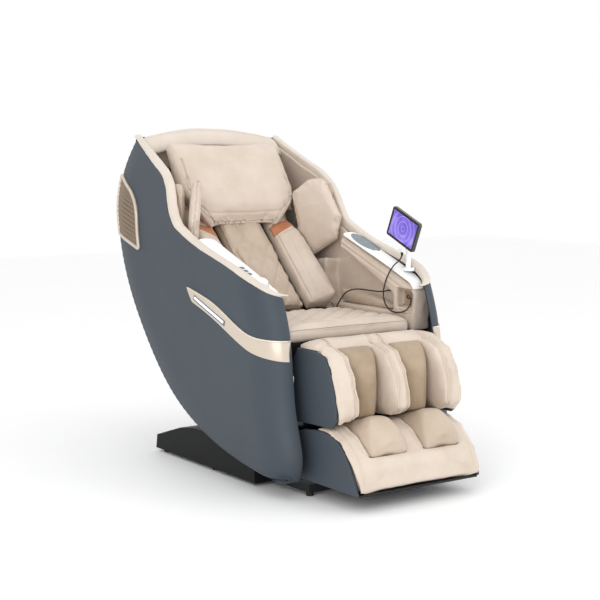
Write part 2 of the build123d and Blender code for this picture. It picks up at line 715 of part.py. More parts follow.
with BuildPart() as leg_frame:
    add(join(*leg_pieces))
    with BuildSketch(Plane.XY.offset(230)):
        with Locations((110, -366), (-110, -366)):
            Circle(8 + RUNNING)
    extrude(amount=196, mode=Mode.SUBTRACT)
save(leg_frame.part, "leg_frame")

CALF_SIDE = [(-352, 226), (-352, 470), (-372, 486), (-443, 490), (-506, 456), (-538, 337),
             (-543, 276), (-536, 250)]
CALF_PAD = [(-386, 244), (-386, 480), (-443, 492), (-510, 466), (-556, 400), (-572, 330),
            (-570, 282), (-520, 250)]
FOOT_SIDE = [(-362, 58), (-362, 205), (-420, 224), (-481, 231), (-559, 201), (-610, 148),
             (-646, 78), (-654, 58)]
FOOT_PAD = [(-386, 59), (-386, 208), (-430, 234), (-500, 236), (-560, 214), (-626, 150),
            (-656, 84), (-658, 59)]
calf_panels, foot_panels, calf_pads = [], [], [slab(CALF_PAD, -WELL_INNER, WELL_INNER, corner=8)]
for side in SIDES.values():
    calf_panels.append(slab(CALF_SIDE, LEG_HALF - LEG_PANEL, LEG_HALF, side))
    foot_panels.append(slab(FOOT_SIDE, LEG_HALF - LEG_PANEL, LEG_HALF, side))
    calf_pads.append(slab([(-386, 246), (-386, 440), (-424, 440), (-436, 246)], WELL_INNER + 2,
                          WELL_OUTER - 2, side))
    calf_pads.append(slab(CALF_PAD, WELL_OUTER, LEG_HALF - LEG_PANEL - 2, side, corner=8))
save(group(*calf_panels), "calf_side_panels")
save(group(*foot_panels), "foot_side_panels")
save(group(*calf_pads), "calf_pads")

with BuildPart() as foot_cushion:
    add(slab(FOOT_PAD, -LEG_HALF + LEG_PANEL + 2, LEG_HALF - LEG_PANEL - 2, corner=6))
    for side in SIDES.values():
        well = slab([(-404, 100), (-404, 260), (-560, 260), (-590, 180), (-566, 112), (-540, 100)],
                    WELL_INNER + 4, WELL_OUTER - 4, side)
        add(well, mode=Mode.SUBTRACT)
save(foot_cushion.part, "foot_cushion")
with BuildPart() as foot_base:
    add(box((-LEG_HALF, LEG_HALF), (-660, -362), (51, 57)))
    add(box((-236, 236), (-384, -358), (57, 73)))
    with BuildSketch(Plane.XY.offset(70)):
        with Locations((110, -366), (-110, -366)):
            Circle(8)
    extrude(amount=350)
save(foot_base.part, "foot_base_and_rods")
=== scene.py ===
import json
import math
import bmesh
import bpy
import numpy as np
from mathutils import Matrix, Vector
from mathutils.bvhtree import BVHTree

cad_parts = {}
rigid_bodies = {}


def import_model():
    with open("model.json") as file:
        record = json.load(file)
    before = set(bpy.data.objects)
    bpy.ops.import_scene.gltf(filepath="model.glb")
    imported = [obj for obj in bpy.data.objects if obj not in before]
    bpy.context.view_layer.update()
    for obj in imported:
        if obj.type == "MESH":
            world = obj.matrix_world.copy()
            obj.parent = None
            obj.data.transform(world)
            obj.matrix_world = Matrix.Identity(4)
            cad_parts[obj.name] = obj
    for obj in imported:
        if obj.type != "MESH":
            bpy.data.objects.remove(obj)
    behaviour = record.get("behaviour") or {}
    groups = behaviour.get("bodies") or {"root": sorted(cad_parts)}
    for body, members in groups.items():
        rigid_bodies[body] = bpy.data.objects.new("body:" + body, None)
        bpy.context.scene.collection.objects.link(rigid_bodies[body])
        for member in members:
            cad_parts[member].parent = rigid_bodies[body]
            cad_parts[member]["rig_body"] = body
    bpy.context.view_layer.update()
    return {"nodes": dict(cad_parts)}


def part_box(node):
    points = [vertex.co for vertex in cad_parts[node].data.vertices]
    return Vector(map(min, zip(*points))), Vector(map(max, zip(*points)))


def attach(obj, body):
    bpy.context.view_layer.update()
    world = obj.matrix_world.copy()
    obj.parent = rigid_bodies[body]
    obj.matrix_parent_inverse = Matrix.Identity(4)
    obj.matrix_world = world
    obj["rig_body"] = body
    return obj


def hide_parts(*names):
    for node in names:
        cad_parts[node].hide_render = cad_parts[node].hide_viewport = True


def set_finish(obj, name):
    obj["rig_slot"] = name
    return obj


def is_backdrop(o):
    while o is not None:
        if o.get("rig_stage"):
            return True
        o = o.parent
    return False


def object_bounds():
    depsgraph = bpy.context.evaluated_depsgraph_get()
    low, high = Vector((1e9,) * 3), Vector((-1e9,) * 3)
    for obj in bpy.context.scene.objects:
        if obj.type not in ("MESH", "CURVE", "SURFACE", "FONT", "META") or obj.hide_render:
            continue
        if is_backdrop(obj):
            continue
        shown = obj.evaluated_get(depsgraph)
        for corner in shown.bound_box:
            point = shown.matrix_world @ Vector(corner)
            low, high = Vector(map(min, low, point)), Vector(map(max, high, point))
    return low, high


# Massage chair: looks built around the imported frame. Metres; outlines are in millimetres.
# +Z is up, -Y is the front, +X is the sitter's left.

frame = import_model()
NODES = frame["nodes"]
SCENE = bpy.context.scene
MM = 0.001
SIDES = {"left": 1, "right": -1}

# ------------------------------------------------------------------ camera and light

TARGET = Vector((-0.107, -0.14, 0.60))
camera_data = bpy.data.cameras.new("camera")
camera_data.lens = 80.7
camera = bpy.data.objects.new("camera", camera_data)
camera.location = (-2.667, -3.806, 1.105)
camera.rotation_mode = "QUATERNION"
camera.rotation_quaternion = (TARGET - camera.location).to_track_quat("-Z", "Y")
SCENE.collection.objects.link(camera)
SCENE.camera = camera
SCENE.view_settings.view_transform = "Standard"


def area_light(name, place, target, size, power):
    """Soft square light."""
    data = bpy.data.lights.new(name, "AREA")
    data.size, data.energy = size, power
    light = bpy.data.objects.new(name, data)
    light.location = place
    light.rotation_mode = "QUATERNION"
    light.rotation_quaternion = (Vector(target) - Vector(place)).to_track_quat("-Z", "Y")
    SCENE.collection.objects.link(light)


area_light("key", (2.6, -3.4, 2.0), (0, 0, 0.5), 2.0, 33)
area_light("fill", (-3.0, -2.6, 1.7), (0, 0, 0.6), 2.2, 46)
area_light("top", (-0.3, 0.2, 3.4), (0, 0, 0.4), 2.2, 6)
world = bpy.data.worlds.new("studio")
world.use_nodes = True
world.node_tree.nodes["Background"].inputs[0].default_value = (1, 1, 1, 1)
world.node_tree.nodes["Background"].inputs[1].default_value = 1.0
SCENE.world = world

# ------------------------------------------------------------------ materials


class Shader:
    """Node material with a few shorthands."""

    def __init__(self, name, roughness=0.5, metallic=0.0, coat=0.0, sheen=0.0, specular=0.5):
        self.material = bpy.data.materials.new(name)
        self.material.use_nodes = True
        self.tree = self.material.node_tree
        self.surface = self.tree.nodes["Principled BSDF"]
        self.surface.inputs["Roughness"].default_value = roughness
        self.surface.inputs["Metallic"].default_value = metallic
        self.surface.inputs["Coat Weight"].default_value = coat
        self.surface.inputs["Coat Roughness"].default_value = 0.12
        self.surface.inputs["Sheen Weight"].default_value = sheen
        self.surface.inputs["Specular IOR Level"].default_value = specular
        self.place = self.node("ShaderNodeTexCoord").outputs["Object"]
        self.bump_chain = None

    def node(self, kind, **values):
        made = self.tree.nodes.new(kind)
        for key, value in values.items():
            if hasattr(made, key):
                setattr(made, key, value)
            else:
                made.inputs[key.replace("_", " ").capitalize()].default_value = value
        return made

    def link(self, start, end):
        self.tree.links.new(start, end)

    def stretched(self, scale):
        """Object coordinates scaled by axis."""
        mapping = self.node("ShaderNodeMapping", Scale=scale)
        self.link(self.place, mapping.inputs["Vector"])
        return mapping.outputs["Vector"]

    def centred(self, centre):
        """Object coordinates measured from a point."""
        offset = self.node("ShaderNodeVectorMath", operation="SUBTRACT")
        offset.inputs[1].default_value = centre
        self.link(self.place, offset.inputs[0])
        return offset.outputs["Vector"]

    def noise(self, scale, detail=3.0, rough=0.5, stretch=None):
        made = self.node("ShaderNodeTexNoise", Scale=scale, Detail=detail, Roughness=rough)
        self.link(self.stretched(stretch) if stretch else self.place, made.inputs["Vector"])
        return made.outputs["Fac"]

    def cells(self, scale, smoothness):
        made = self.node("ShaderNodeTexVoronoi", feature="SMOOTH_F1", Scale=scale, Smoothness=smoothness)
        self.link(self.place, made.inputs["Vector"])
        return made.outputs["Distance"]

    def ramp(self, factor, *stops):
        """Colour ramp: stops are (position, colour)."""
        made = self.node("ShaderNodeValToRGB")
        band = made.color_ramp
        for index, (position, colour) in enumerate(stops):
            stop = band.elements[index] if index < 2 else band.elements.new(position)
            stop.position, stop.color = position, (*colour, 1)
        self.link(factor, made.inputs["Fac"])
        return made.outputs["Color"]

    def mix(self, factor, first, second, blend="MIX"):
        made = self.node("ShaderNodeMix", data_type="RGBA", blend_type=blend)
        for value, socket in ((factor, made.inputs[0]), (first, made.inputs[6]), (second, made.inputs[7])):
            if isinstance(value, (int, float)):
                socket.default_value = value
            elif isinstance(value, tuple):
                socket.default_value = (*value, 1)
            else:
                self.link(value, socket)
        return made.outputs[2]

    def colour(self, value):
        if isinstance(value, tuple):
            self.surface.inputs["Base Color"].default_value = (*value, 1)
        else:
            self.link(value, self.surface.inputs["Base Color"])

    def rough(self, factor, low, high):
        made = self.node("ShaderNodeMapRange")
        made.inputs["To Min"].default_value = low
        made.inputs["To Max"].default_value = high
        self.link(factor, made.inputs["Value"])
        self.link(made.outputs["Result"], self.surface.inputs["Roughness"])

    def bump(self, height, distance, strength=1.0):
        """Height detail, added on top of what is there. Distance in metres."""
        made = self.node("ShaderNodeBump", Strength=strength, Distance=distance)
        self.link(height, made.inputs["Height"])
        if self.bump_chain:
            self.link(self.bump_chain, made.inputs["Normal"])
        self.bump_chain = made.outputs["Normal"]
        self.link(self.bump_chain, self.surface.inputs["Normal"])


def srgb(red, green, blue):
    """Linear colour from 0 to 255 screen values."""
    return tuple(((c / 255 + 0.055) / 1.055) ** 2.4 if c > 10 else c / 255 / 12.92
                 for c in (red, green, blue))


def leather(name, light, dark, roughness=0.46):
    """Soft synthetic leather: pebbled grain, faint creases and mottled colour."""
    shader = Shader(name, sheen=0.12)
    mottle = shader.noise(7.0, 4.0, 0.6)
    tone = shader.ramp(mottle, (0.3, dark), (0.7, light))
    grain = shader.cells(620.0, 0.7)
    pores = shader.ramp(grain, (0.0, (0.88, 0.86, 0.84)), (0.35, (1, 1, 1)))
    shader.colour(shader.mix(1.0, tone, pores, "MULTIPLY"))
    shader.rough(shader.noise(60.0, 3.0), roughness - 0.06, roughness + 0.12)
    shader.bump(shader.noise(26.0, 3.0, 0.55, (1.0, 1.6, 0.8)), 0.0016, 0.35)
    shader.bump(grain, 0.00035, 0.5)
    return shader.material


def paint(name, colour, roughness, grain_scale=900.0, coat=0.0, metallic=0.0, grain=0.00008, depth=0.06,
          specular=0.5):
    """Moulded or painted surface with a fine texture and slight tone changes."""
    shader = Shader(name, metallic=metallic, coat=coat, specular=specular)
    darker = tuple(c * (1 - depth) for c in colour)
    shader.colour(shader.ramp(shader.noise(5.0, 3.0), (0.35, darker), (0.65, colour)))
    shader.rough(shader.noise(35.0, 4.0), roughness - 0.04, roughness + 0.06)
    shader.bump(shader.noise(grain_scale, 2.0), grain, 0.6)
    return shader.material


def brushed(name, colour, stretch):
    """Metal with fine drawn lines."""
    shader = Shader(name, metallic=1.0)
    lines = shader.noise(140.0, 3.0, 0.6, stretch)
    shader.colour(shader.mix(lines, tuple(c * 0.8 for c in colour), colour))
    shader.rough(lines, 0.22, 0.42)
    shader.bump(lines, 0.00006, 0.5)
    return shader.material


def screen_glass(centre):
    """Lit screen: soft bands of violet with pale rings."""
    shader = Shader("screen_glass", roughness=0.08)
    rings = shader.node("ShaderNodeTexWave", wave_type="RINGS", rings_direction="X", Scale=18.0,
                        Distortion=1.2)
    shader.link(shader.centred(centre), rings.inputs["Vector"])
    base = shader.ramp(shader.noise(16.0, 2.0, 0.4), (0.3, srgb(76, 66, 160)), (0.55, srgb(112, 96, 190)),
                       (0.75, srgb(150, 140, 215)))
    lines = shader.ramp(rings.outputs["Fac"], (0.93, (0, 0, 0)), (0.99, srgb(150, 150, 170)))
    picture = shader.mix(0.5, base, lines, "ADD")
    shader.colour(picture)
    shader.link(picture, shader.surface.inputs["Emission Color"])
    shader.surface.inputs["Emission Strength"].default_value = 0.55
    return shader.material


def touch_glass(centre):
    """Dark slate oval with faint round light marks."""
    shader = Shader("touch_glass", roughness=0.14, coat=0.6)
    dots = shader.node("ShaderNodeTexVoronoi", feature="F1", Scale=52.0, Randomness=0.25)
    shader.link(shader.centred(centre), dots.inputs["Vector"])
    ring = shader.ramp(dots.outputs["Distance"], (0.20, (0, 0, 0)), (0.24, (1, 1, 1)), (0.30, (0, 0, 0)))
    shader.colour(shader.mix(ring, srgb(74, 92, 100), srgb(140, 158, 164)))
    return shader.material


def led_lens():
    """White light bar behind a ribbed diffuser."""
    shader = Shader("led_lens", roughness=0.25)
    ribs = shader.node("ShaderNodeTexWave", bands_direction="Y", Scale=160.0)
    shader.link(shader.place, ribs.inputs["Vector"])
    shader.colour(srgb(246, 247, 250))
    shader.surface.inputs["Emission Color"].default_value = (1, 1, 1, 1)
    shader.surface.inputs["Emission Strength"].default_value = 0.5
    shader.bump(ribs.outputs["Fac"], 0.0002, 0.4)
    return shader.material


def woven(name, colour):
    """Close black cloth."""
    shader = Shader(name, roughness=0.85, sheen=0.3)
    weave = shader.node("ShaderNodeTexWave", bands_direction="DIAGONAL", Scale=420.0)
    shader.link(shader.place, weave.inputs["Vector"])
    shader.colour(shader.mix(weave.outputs["Fac"], tuple(c * 0.6 for c in colour), colour))
    shader.bump(weave.outputs["Fac"], 0.0002, 0.6)
    return shader.material



def centre_of(node):
    """Middle of a node's box."""
    low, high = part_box(node)
    return (low + high) / 2


CREAM = leather("cream_leather", srgb(214, 200, 186), srgb(200, 184, 168))
# Darker copy of the cream leather: painted shade for the pieces that sit in recesses and gaps (back cushion,
# outer shoulder layers, forearm pads, instep and sole pads, head board, back edge linings).
CREAM_SHADED = leather("cream_leather_painted_shade", srgb(198, 181, 163), srgb(182, 164, 144))
# Darker, browner cream for the calf well linings: painted shade of the deep wells.
CREAM_WELL_SHADE = leather("cream_leather_well_painted_shade", srgb(172, 152, 128), srgb(146, 124, 98))
TRIM = leather("trim_leather", srgb(218, 207, 195), srgb(208, 196, 183), 0.42)
TAN = leather("tan_leather", srgb(196, 132, 94), srgb(178, 114, 78))
# Darker cream for the inside faces of the arm pockets: painted shade of the pocket's recess.
POCKET_SHADE = leather("pocket_painted_shade", srgb(178, 156, 134), srgb(150, 128, 106), 0.7)
SHELL = paint("shell_paint", srgb(64, 72, 80), 0.5, 1200.0, specular=0.3)
GLOSS = paint("white_gloss", srgb(244, 246, 246), 0.10, 400.0, coat=0.8, grain=0.00002, depth=0.01)
CHAMPAGNE = paint("champagne", srgb(208, 194, 178), 0.3, 1500.0, metallic=0.35)
CHAMPAGNE_EDGE = paint("champagne_edge", srgb(232, 220, 205), 0.22, 1500.0, metallic=0.5)
BRONZE = paint("bronze", srgb(134, 116, 96), 0.32, 1500.0, metallic=0.6)
BLACK = paint("black_plastic", srgb(18, 19, 21), 0.5, 700.0, grain=0.0002, specular=0.15)
STEEL_BLACK = paint("black_steel", srgb(26, 27, 29), 0.42, 1400.0, metallic=0.4, grain=0.00015)
STEEL = brushed("brushed_steel", srgb(190, 192, 196), (1.0, 1.0, 0.05))
GREY = paint("grey_plastic", srgb(150, 152, 156), 0.45, 800.0, grain=0.00015)
RUBBER = paint("rubber", srgb(26, 26, 27), 0.75, 600.0, grain=0.0002)
CORD = paint("cord_jacket", srgb(44, 38, 38), 0.5, 900.0)
BEZEL = paint("bezel", srgb(34, 31, 33), 0.16, 900.0, coat=0.6, grain=0.00002)
SCREEN = screen_glass(centre_of("tablet_screen"))
TOUCH = touch_glass(centre_of("touch_panel"))
LED = led_lens()
CLOTH = woven("black_cloth", srgb(34, 34, 36))
THREAD = leather("thread", srgb(222, 206, 188), srgb(206, 188, 168), 0.6)
SLATE = paint("slate_plastic", srgb(92, 104, 114), 0.3, 900.0, coat=0.3)
ROLLER = paint("roller_plastic", srgb(206, 190, 158), 0.4, 900.0)

# ------------------------------------------------------------------ mesh helpers


def smooth(points, count):
    """Evenly spread points on a smooth curve through a few points of any dimension."""
    p = np.array(points, float)
    t = np.concatenate([[0], np.cumsum(np.linalg.norm(np.diff(p, axis=0), axis=1))])
    h = np.diff(t)
    system, right = np.eye(len(t)), np.zeros_like(p)
    for i in range(1, len(t) - 1):
        system[i, i - 1:i + 2] = h[i - 1], 2 * (h[i - 1] + h[i]), h[i]
        right[i] = 6 * ((p[i + 1] - p[i]) / h[i] - (p[i] - p[i - 1]) / h[i - 1])
    bend = np.linalg.solve(system, right)
    dense = np.linspace(0, t[-1], 40 * len(t))
    k = np.clip(np.searchsorted(t, dense, side="right") - 1, 0, len(h) - 1)
    a = ((t[k + 1] - dense) / h[k])[:, None]
    b = 1 - a
    curve = a * p[k] + b * p[k + 1]
    curve += ((a ** 3 - a) * bend[k] + (b ** 3 - b) * bend[k + 1]) * (h[k] ** 2)[:, None] / 6
    return spread(curve, count)


def spread(line, count):
    """The same line with evenly spread points."""
    line = np.array(line, float)
    run = np.concatenate([[0], np.cumsum(np.linalg.norm(np.diff(line, axis=0), axis=1))])
    at = np.linspace(0, run[-1], count)
    return np.stack([np.interp(at, run, line[:, k]) for k in range(line.shape[1])], axis=1)


def curve(points, count):
    """Smooth curve through points given in mm, in metres."""
    return smooth(np.array(points) * MM, count)


def chain(*curves):
    """Curves end to end."""
    return np.concatenate([curves[0]] + [curve[1:] for curve in curves[1:]])


def dress(obj, material, body, slot, *nodes):
    """Gives a piece its material, its body, its slot and the nodes that it stands for."""
    obj.data.materials.clear()
    obj.data.materials.append(material)
    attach(obj, body)
    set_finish(obj, slot)
    if nodes:
        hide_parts(*nodes)
    return obj


def make(name, verts, faces, shade=True):
    """Mesh object from points in metres, with its normals outwards."""
    mesh = bpy.data.meshes.new(name)
    mesh.from_pydata([tuple(v) for v in verts], [], faces)
    build = bmesh.new()
    build.from_mesh(mesh)
    bmesh.ops.remove_doubles(build, verts=build.verts, dist=1e-6)
    bmesh.ops.recalc_face_normals(build, faces=build.faces)
    build.to_mesh(mesh)
    build.free()
    mesh.polygons.foreach_set("use_smooth", [shade] * len(mesh.polygons))
    obj = bpy.data.objects.new(name, mesh)
    SCENE.collection.objects.link(obj)
    return obj


def bake(obj):
    """Applies all of a piece's modifiers."""
    graph = bpy.context.evaluated_depsgraph_get()
    mesh = bpy.data.meshes.new_from_object(obj.evaluated_get(graph))
    obj.modifiers.clear()
    obj.data = mesh
    return obj


def modify(obj, kind, **values):
    modifier = obj.modifiers.new(kind.lower(), kind)
    for key, value in values.items():
        setattr(modifier, key, value)
    return modifier


def quads(rows, cols, wrap_rows=False, wrap_cols=False):
    """Faces of a grid of points."""
    faces = []
    for r in range(rows if wrap_rows else rows - 1):
        for c in range(cols if wrap_cols else cols - 1):
            r2, c2 = (r + 1) % rows, (c + 1) % cols
            faces.append((r * cols + c, r * cols + c2, r2 * cols + c2, r2 * cols + c))
    return faces


def ring_ends(total, count):
    """First and last ring of a tube of points, as faces."""
    return [tuple(range(count)), tuple(range(total - 1, total - count - 1, -1))]


def strip_ends(rows, count):
    """Faces that close both ends of lines of points that lie around a strip."""
    return [tuple(r * count for r in range(rows)),
            tuple(r * count + count - 1 for r in range(rows - 1, -1, -1))]


def circle(centre, first, second, radius, count):
    """Points of a circle in the plane of two directions."""
    angles = [2 * math.pi * k / count for k in range(count)]
    return [centre + radius * (math.cos(a) * first + math.sin(a) * second) for a in angles]


def square_to(line):
    """Unit vectors square to a line in Y and Z."""
    tangent = np.gradient(line, axis=0)
    tangent /= np.linalg.norm(tangent, axis=1)[:, None]
    return np.stack([tangent[:, 1], -tangent[:, 0]], axis=1)


def rounded(ring, rounds):
    """Closed ring of points with its corners drawn in."""
    for _ in range(rounds):
        ring = (np.roll(ring, 1, axis=0) + 2 * ring + np.roll(ring, -1, axis=0)) / 4
    return ring


def bevel(obj, width, segments, angle):
    """Rounds the edges that are sharper than an angle in degrees."""
    modify(obj, "BEVEL", width=width, segments=segments, limit_method="ANGLE",
           angle_limit=math.radians(angle))


def refine(obj):
    """One round of subdivision."""
    modify(obj, "SUBSURF", levels=1)
    return bake(obj)


def points_of(mesh):
    co = np.empty(len(mesh.vertices) * 3)
    mesh.vertices.foreach_get("co", co)
    return co.reshape(-1, 3)


def coords(obj):
    return points_of(obj.data)


def put(obj, co):
    obj.data.vertices.foreach_set("co", np.ascontiguousarray(co).ravel())
    obj.data.update()


def normals(obj):
    no = np.empty(len(obj.data.vertices) * 3)
    obj.data.vertex_normals.foreach_get("vector", no)
    return no.reshape(-1, 3)


def mirrored(obj, name):
    """Copy of a piece on the other side of the chair, with its own mesh."""
    twin = obj.copy()
    twin.data = obj.data.copy()
    twin.name = name
    SCENE.collection.objects.link(twin)
    co = coords(obj)
    co[:, 0] *= -1
    put(twin, co)
    twin.data.flip_normals()
    return twin


def face_out(obj, axis):
    """Turns an open sheet's faces to the high side of an axis."""
    if np.mean(normals(obj)[:, axis]) < 0:
        obj.data.flip_normals()


def extruded(outline, depths, place):
    """Points and faces of an outline in mm carried from one depth to another; place gives X, Y and Z."""
    count = len(outline)
    verts = [tuple(v * MM for v in place(a, b, depth)) for depth in depths for a, b in outline]
    sides = [(i, (i + 1) % count, count + (i + 1) % count, count + i) for i in range(count)]
    return verts, ring_ends(2 * count, count) + sides


def prism(outline, x0, x1):
    """Outline in Y and Z, carried from one X to another."""
    return extruded(outline, (x0, x1), lambda y, z, x: (x, y, z))


def prisms(outline, x0, x1):
    """The same outline on both sides of the chair."""
    return [prism(outline, x0, x1), prism(outline, -x1, -x0)]


def plan(outline, z0, z1):
    """Outline in X and Y, carried from one Z to another."""
    return extruded(outline, (z0, z1), lambda x, y, z: (x, y, z))


def across_section(outline, y0, y1):
    """Outline in X and Z, carried from one Y to another."""
    return extruded(outline, (y0, y1), lambda x, z, y: (x, y, z))


def together(*parts):
    """One list of points and faces from several."""
    verts, faces = [], []
    for part_verts, part_faces in parts:
        faces += [tuple(i + len(verts) for i in face) for face in part_faces]
        verts += list(part_verts)
    return verts, faces


def carve(obj, operation, *parts):
    """Takes solids out of a piece, or keeps only what lies inside them."""
    for part in parts:
        tool = make("tool", *part, shade=False)
        modify(obj, "BOOLEAN", operation=operation, object=tool, solver="EXACT")
        bake(obj)
        bpy.data.objects.remove(tool)
    return obj


def relax(obj, rounds, strength=0.5):
    """Rounds off edges by drawing each point to the middle of its neighbours."""
    co = coords(obj)
    edges = np.empty(len(obj.data.edges) * 2, int)
    obj.data.edges.foreach_get("vertices", edges)
    a, b = edges.reshape(-1, 2).T
    count = np.bincount(a, minlength=len(co)) + np.bincount(b, minlength=len(co))
    for _ in range(rounds):
        total = np.stack([np.bincount(a, co[b, k], len(co)) + np.bincount(b, co[a, k], len(co))
                          for k in range(3)], axis=1)
        co += strength * (total / count[:, None] - co)
    put(obj, co)
    return obj


def voxels(obj, size, rounds):
    """Even skin of small faces, with rounded edges."""
    modify(obj, "REMESH", mode="VOXEL", voxel_size=size, use_smooth_shade=True)
    bake(obj)
    return relax(obj, rounds)


def ripple(points, scale, seed=0):
    """Smooth random value from -1 to 1 at each point: value noise on a lattice."""
    p = points * scale
    cell = np.floor(p).astype(np.int64)
    part = p - cell
    part = part * part * (3 - 2 * part)
    total = np.zeros(len(p))
    for corner in range(8):
        step = np.array([corner & 1, corner >> 1 & 1, corner >> 2 & 1])
        key = cell + step
        mixed = (key[:, 0] * 374761393 + key[:, 1] * 668265263 + key[:, 2] * 2147483647 + seed * 974711)
        mixed = (mixed ^ (mixed >> 13)) * 1274126177 & 0xFFFFFFFF
        mixed = (mixed ^ (mixed >> 16)) & 0xFFFF
        weight = np.prod(np.where(step == 1, part, 1 - part), axis=1)
        total += weight * (mixed / 32767.5 - 1)
    return total


def distance_to(points, line):
    """Distance of each point from a line of points."""
    line = np.array(line, float)
    best = np.full(len(points), 1e9)
    for start, end in zip(line[:-1], line[1:]):
        run = end - start
        t = np.clip(((points - start) @ run) / max(run @ run, 1e-12), 0, 1)
        best = np.minimum(best, np.linalg.norm(points - start - t[:, None] * run, axis=1))
    return best


def fade(value, start, end):
    """0 before start, 1 after end, smooth between."""
    t = np.clip((value - start) / (end - start), 0, 1)
    return t * t * (3 - 2 * t)


def press(obj, height):
    """Moves each point of a piece along its normal by a height in metres."""
    put(obj, coords(obj) + normals(obj) * np.asarray(height)[:, None])
    return obj


def seam(obj, line, depth=0.0035, width=0.004):
    """Sewn seam pressed into a piece along a line near its surface."""
    path = on_surface(obj, line)[0]
    return press(obj, -depth * np.exp(-(distance_to(coords(obj), path) / width) ** 2))


def on_surface(obj, line):
    """A line's nearest points on a piece, and the normals there."""
    tree = BVHTree.FromObject(obj, bpy.context.evaluated_depsgraph_get())
    found = [tree.find_nearest(Vector(p)) for p in line]
    return np.array([f[0] for f in found]), np.array([f[1] for f in found])


def tube_mesh(path, radius, sides=8):
    """Points and faces of a round tube along a path."""
    path = np.array(path, float)
    tangent = np.gradient(path, axis=0)
    tangent /= np.linalg.norm(tangent, axis=1)[:, None]
    across = np.cross(tangent[0], (0.37, 0.59, 0.71))
    verts = []
    for point, along in zip(path, tangent):
        across = across - (across @ along) * along
        across /= np.linalg.norm(across)
        verts += circle(point, across, np.cross(along, across), radius, sides)
    return verts, quads(len(path), sides, wrap_cols=True) + ring_ends(len(verts), sides)


def piping(name, obj, lines, radius=0.002, sink=0.3):
    """Sewn welt on a piece, along lines near its surface."""
    parts = []
    for line in lines:
        path, normal = on_surface(obj, line)
        parts.append(tube_mesh(path + normal * radius * sink, radius))
    welt = make(name, *together(*parts))
    return dress(welt, obj.data.materials[0], obj["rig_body"], obj["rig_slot"])


def stitches(name, obj, lines, pitch=0.007, length=0.0048, radius=0.0005):
    """Row of thread stitches on a piece, along lines near its surface."""
    parts = []
    for line in lines:
        line = np.array(line, float)
        run = np.linalg.norm(np.diff(line, axis=0), axis=1).sum()
        path, normal = on_surface(obj, spread(line, max(int(run / pitch), 2)))
        path = path + normal * radius * 0.5
        for start, end in zip(path[:-1], path[1:]):
            step = (end - start) / max(np.linalg.norm(end - start), 1e-9) * length
            parts.append(tube_mesh([start, start + step / 2, start + step], radius, 5))
    row = make(name, *together(*parts))
    return dress(row, THREAD, obj["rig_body"], obj["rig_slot"])


# ------------------------------------------------------------------ cords

TABLET_ROUTE = [(303, -174, 745), (303, -174, 731), (293, -172, 715), (270, -165, 698),
                (257, -146, 655), (255, -131, 612), (255, -133, 578), (255, -152, 551),
                (255, -187, 538), (255, -232, 541), (255, -268, 557), (256, -285, 584),
                (259, -271, 604), (270, -243, 602), (286, -226, 590), (300, -222, 586),
                (310, -222, 586)]
SEAT_ROUTE = [(326, -96, 604), (308, -96, 604), (289, -78, 598), (276, -34, 599), (266, 10, 602),
              (258, 52, 598), (252, 86, 584), (245, 108, 556), (236, 121, 525), (230, 128, 500),
              (230, 128, 476)]
CORD_DIAMETER = 0.005
RELIEF_LENGTH = 0.014
RELIEF_RADII = [0.0026, 0.0050, 0.0050, 0.0044, 0.0048, 0.0040, 0.0043, 0.0036, 0.0038, 0.0032, 0.0026]


def cord(name, route):
    """Smooth round cord along its route, with a tapered strain relief at its exit."""
    data = bpy.data.curves.new(name, "CURVE")
    data.dimensions = "3D"
    data.bevel_depth = CORD_DIAMETER / 2
    data.bevel_resolution = 4
    data.resolution_u = 12
    data.use_fill_caps = True
    spline = data.splines.new("NURBS")
    spline.points.add(len(route) - 1)
    for point, place in zip(spline.points, route):
        point.co = (*[v * MM for v in place], 1)
    spline.order_u = 3
    spline.use_endpoint_u = True
    obj = bpy.data.objects.new(name, data)
    SCENE.collection.objects.link(obj)
    data.materials.append(CORD)
    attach(obj, "recliner")
    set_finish(obj, "cord")
    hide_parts(name)
    start = np.array(route[0]) * MM
    run = np.array(route[1]) * MM - start
    along = run / np.linalg.norm(run)
    across = np.cross(along, (0.3, 0.9, 0.1))
    across /= np.linalg.norm(across)
    verts = []
    for ring, radius in enumerate(RELIEF_RADII):
        centre = start + along * RELIEF_LENGTH * max(ring - 1, 0) / (len(RELIEF_RADII) - 2)
        verts += circle(centre, across, np.cross(along, across), radius, 16)
    relief = make(f"{name}_relief", verts, quads(len(RELIEF_RADII), 16, wrap_cols=True))
    dress(relief, RUBBER, "recliner", "rubber")


cord("tablet_cord", TABLET_ROUTE)
cord("seat_cord", SEAT_ROUTE)

# ------------------------------------------------------------------ side shells

HALF = 375 * MM
FRONT_X = 292 * MM
WRAP = 130 * MM
REAR_ROLL = 14 * MM
CROWN, CROWN_WIDTH = 14 * MM, 95 * MM
SHELL_RIM = 287 * MM
REAR = [(538, 1146), (618, 1052), (669, 914), (631, 676), (475, 433), (274, 243), (70, 143),
        (-134, 89), (-385, 55)]
FRONT = [(-310, 638), (-346, 536), (-364, 427), (-397, 224), (-416, 104), (-385, 55)]
ARM = [(240, 835), (125, 787), (-68, 732), (-218, 682), (-310, 638)]
NECK = [(330, 1014), (298, 970), (276, 892), (240, 835)]
CREST = [(538, 1146), (399, 1053), (330, 1014)]

rear_line = curve(REAR, 260)
front_line = curve(FRONT, 80)
top_line = chain(curve(CREST, 40), curve(NECK, 40), curve(ARM, 90))
rim_line = spread(chain(top_line, front_line), 260)
front_z = np.concatenate([[0.0], front_line[::-1, 1], [0.90]])
front_y = np.concatenate([[-0.385], front_line[::-1, 0], [-0.218]])


def crown_roll(y, z):
    """How far the shell's face draws in close to its rear edge."""
    spots = np.stack([y, z], axis=-1).reshape(-1, 2)
    gaps = np.linalg.norm(spots[:, None] - rear_line[None, ::4], axis=2)
    return CROWN * np.clip(1 - np.min(gaps, axis=1).reshape(np.shape(y)) / CROWN_WIDTH, 0, 1) ** 2


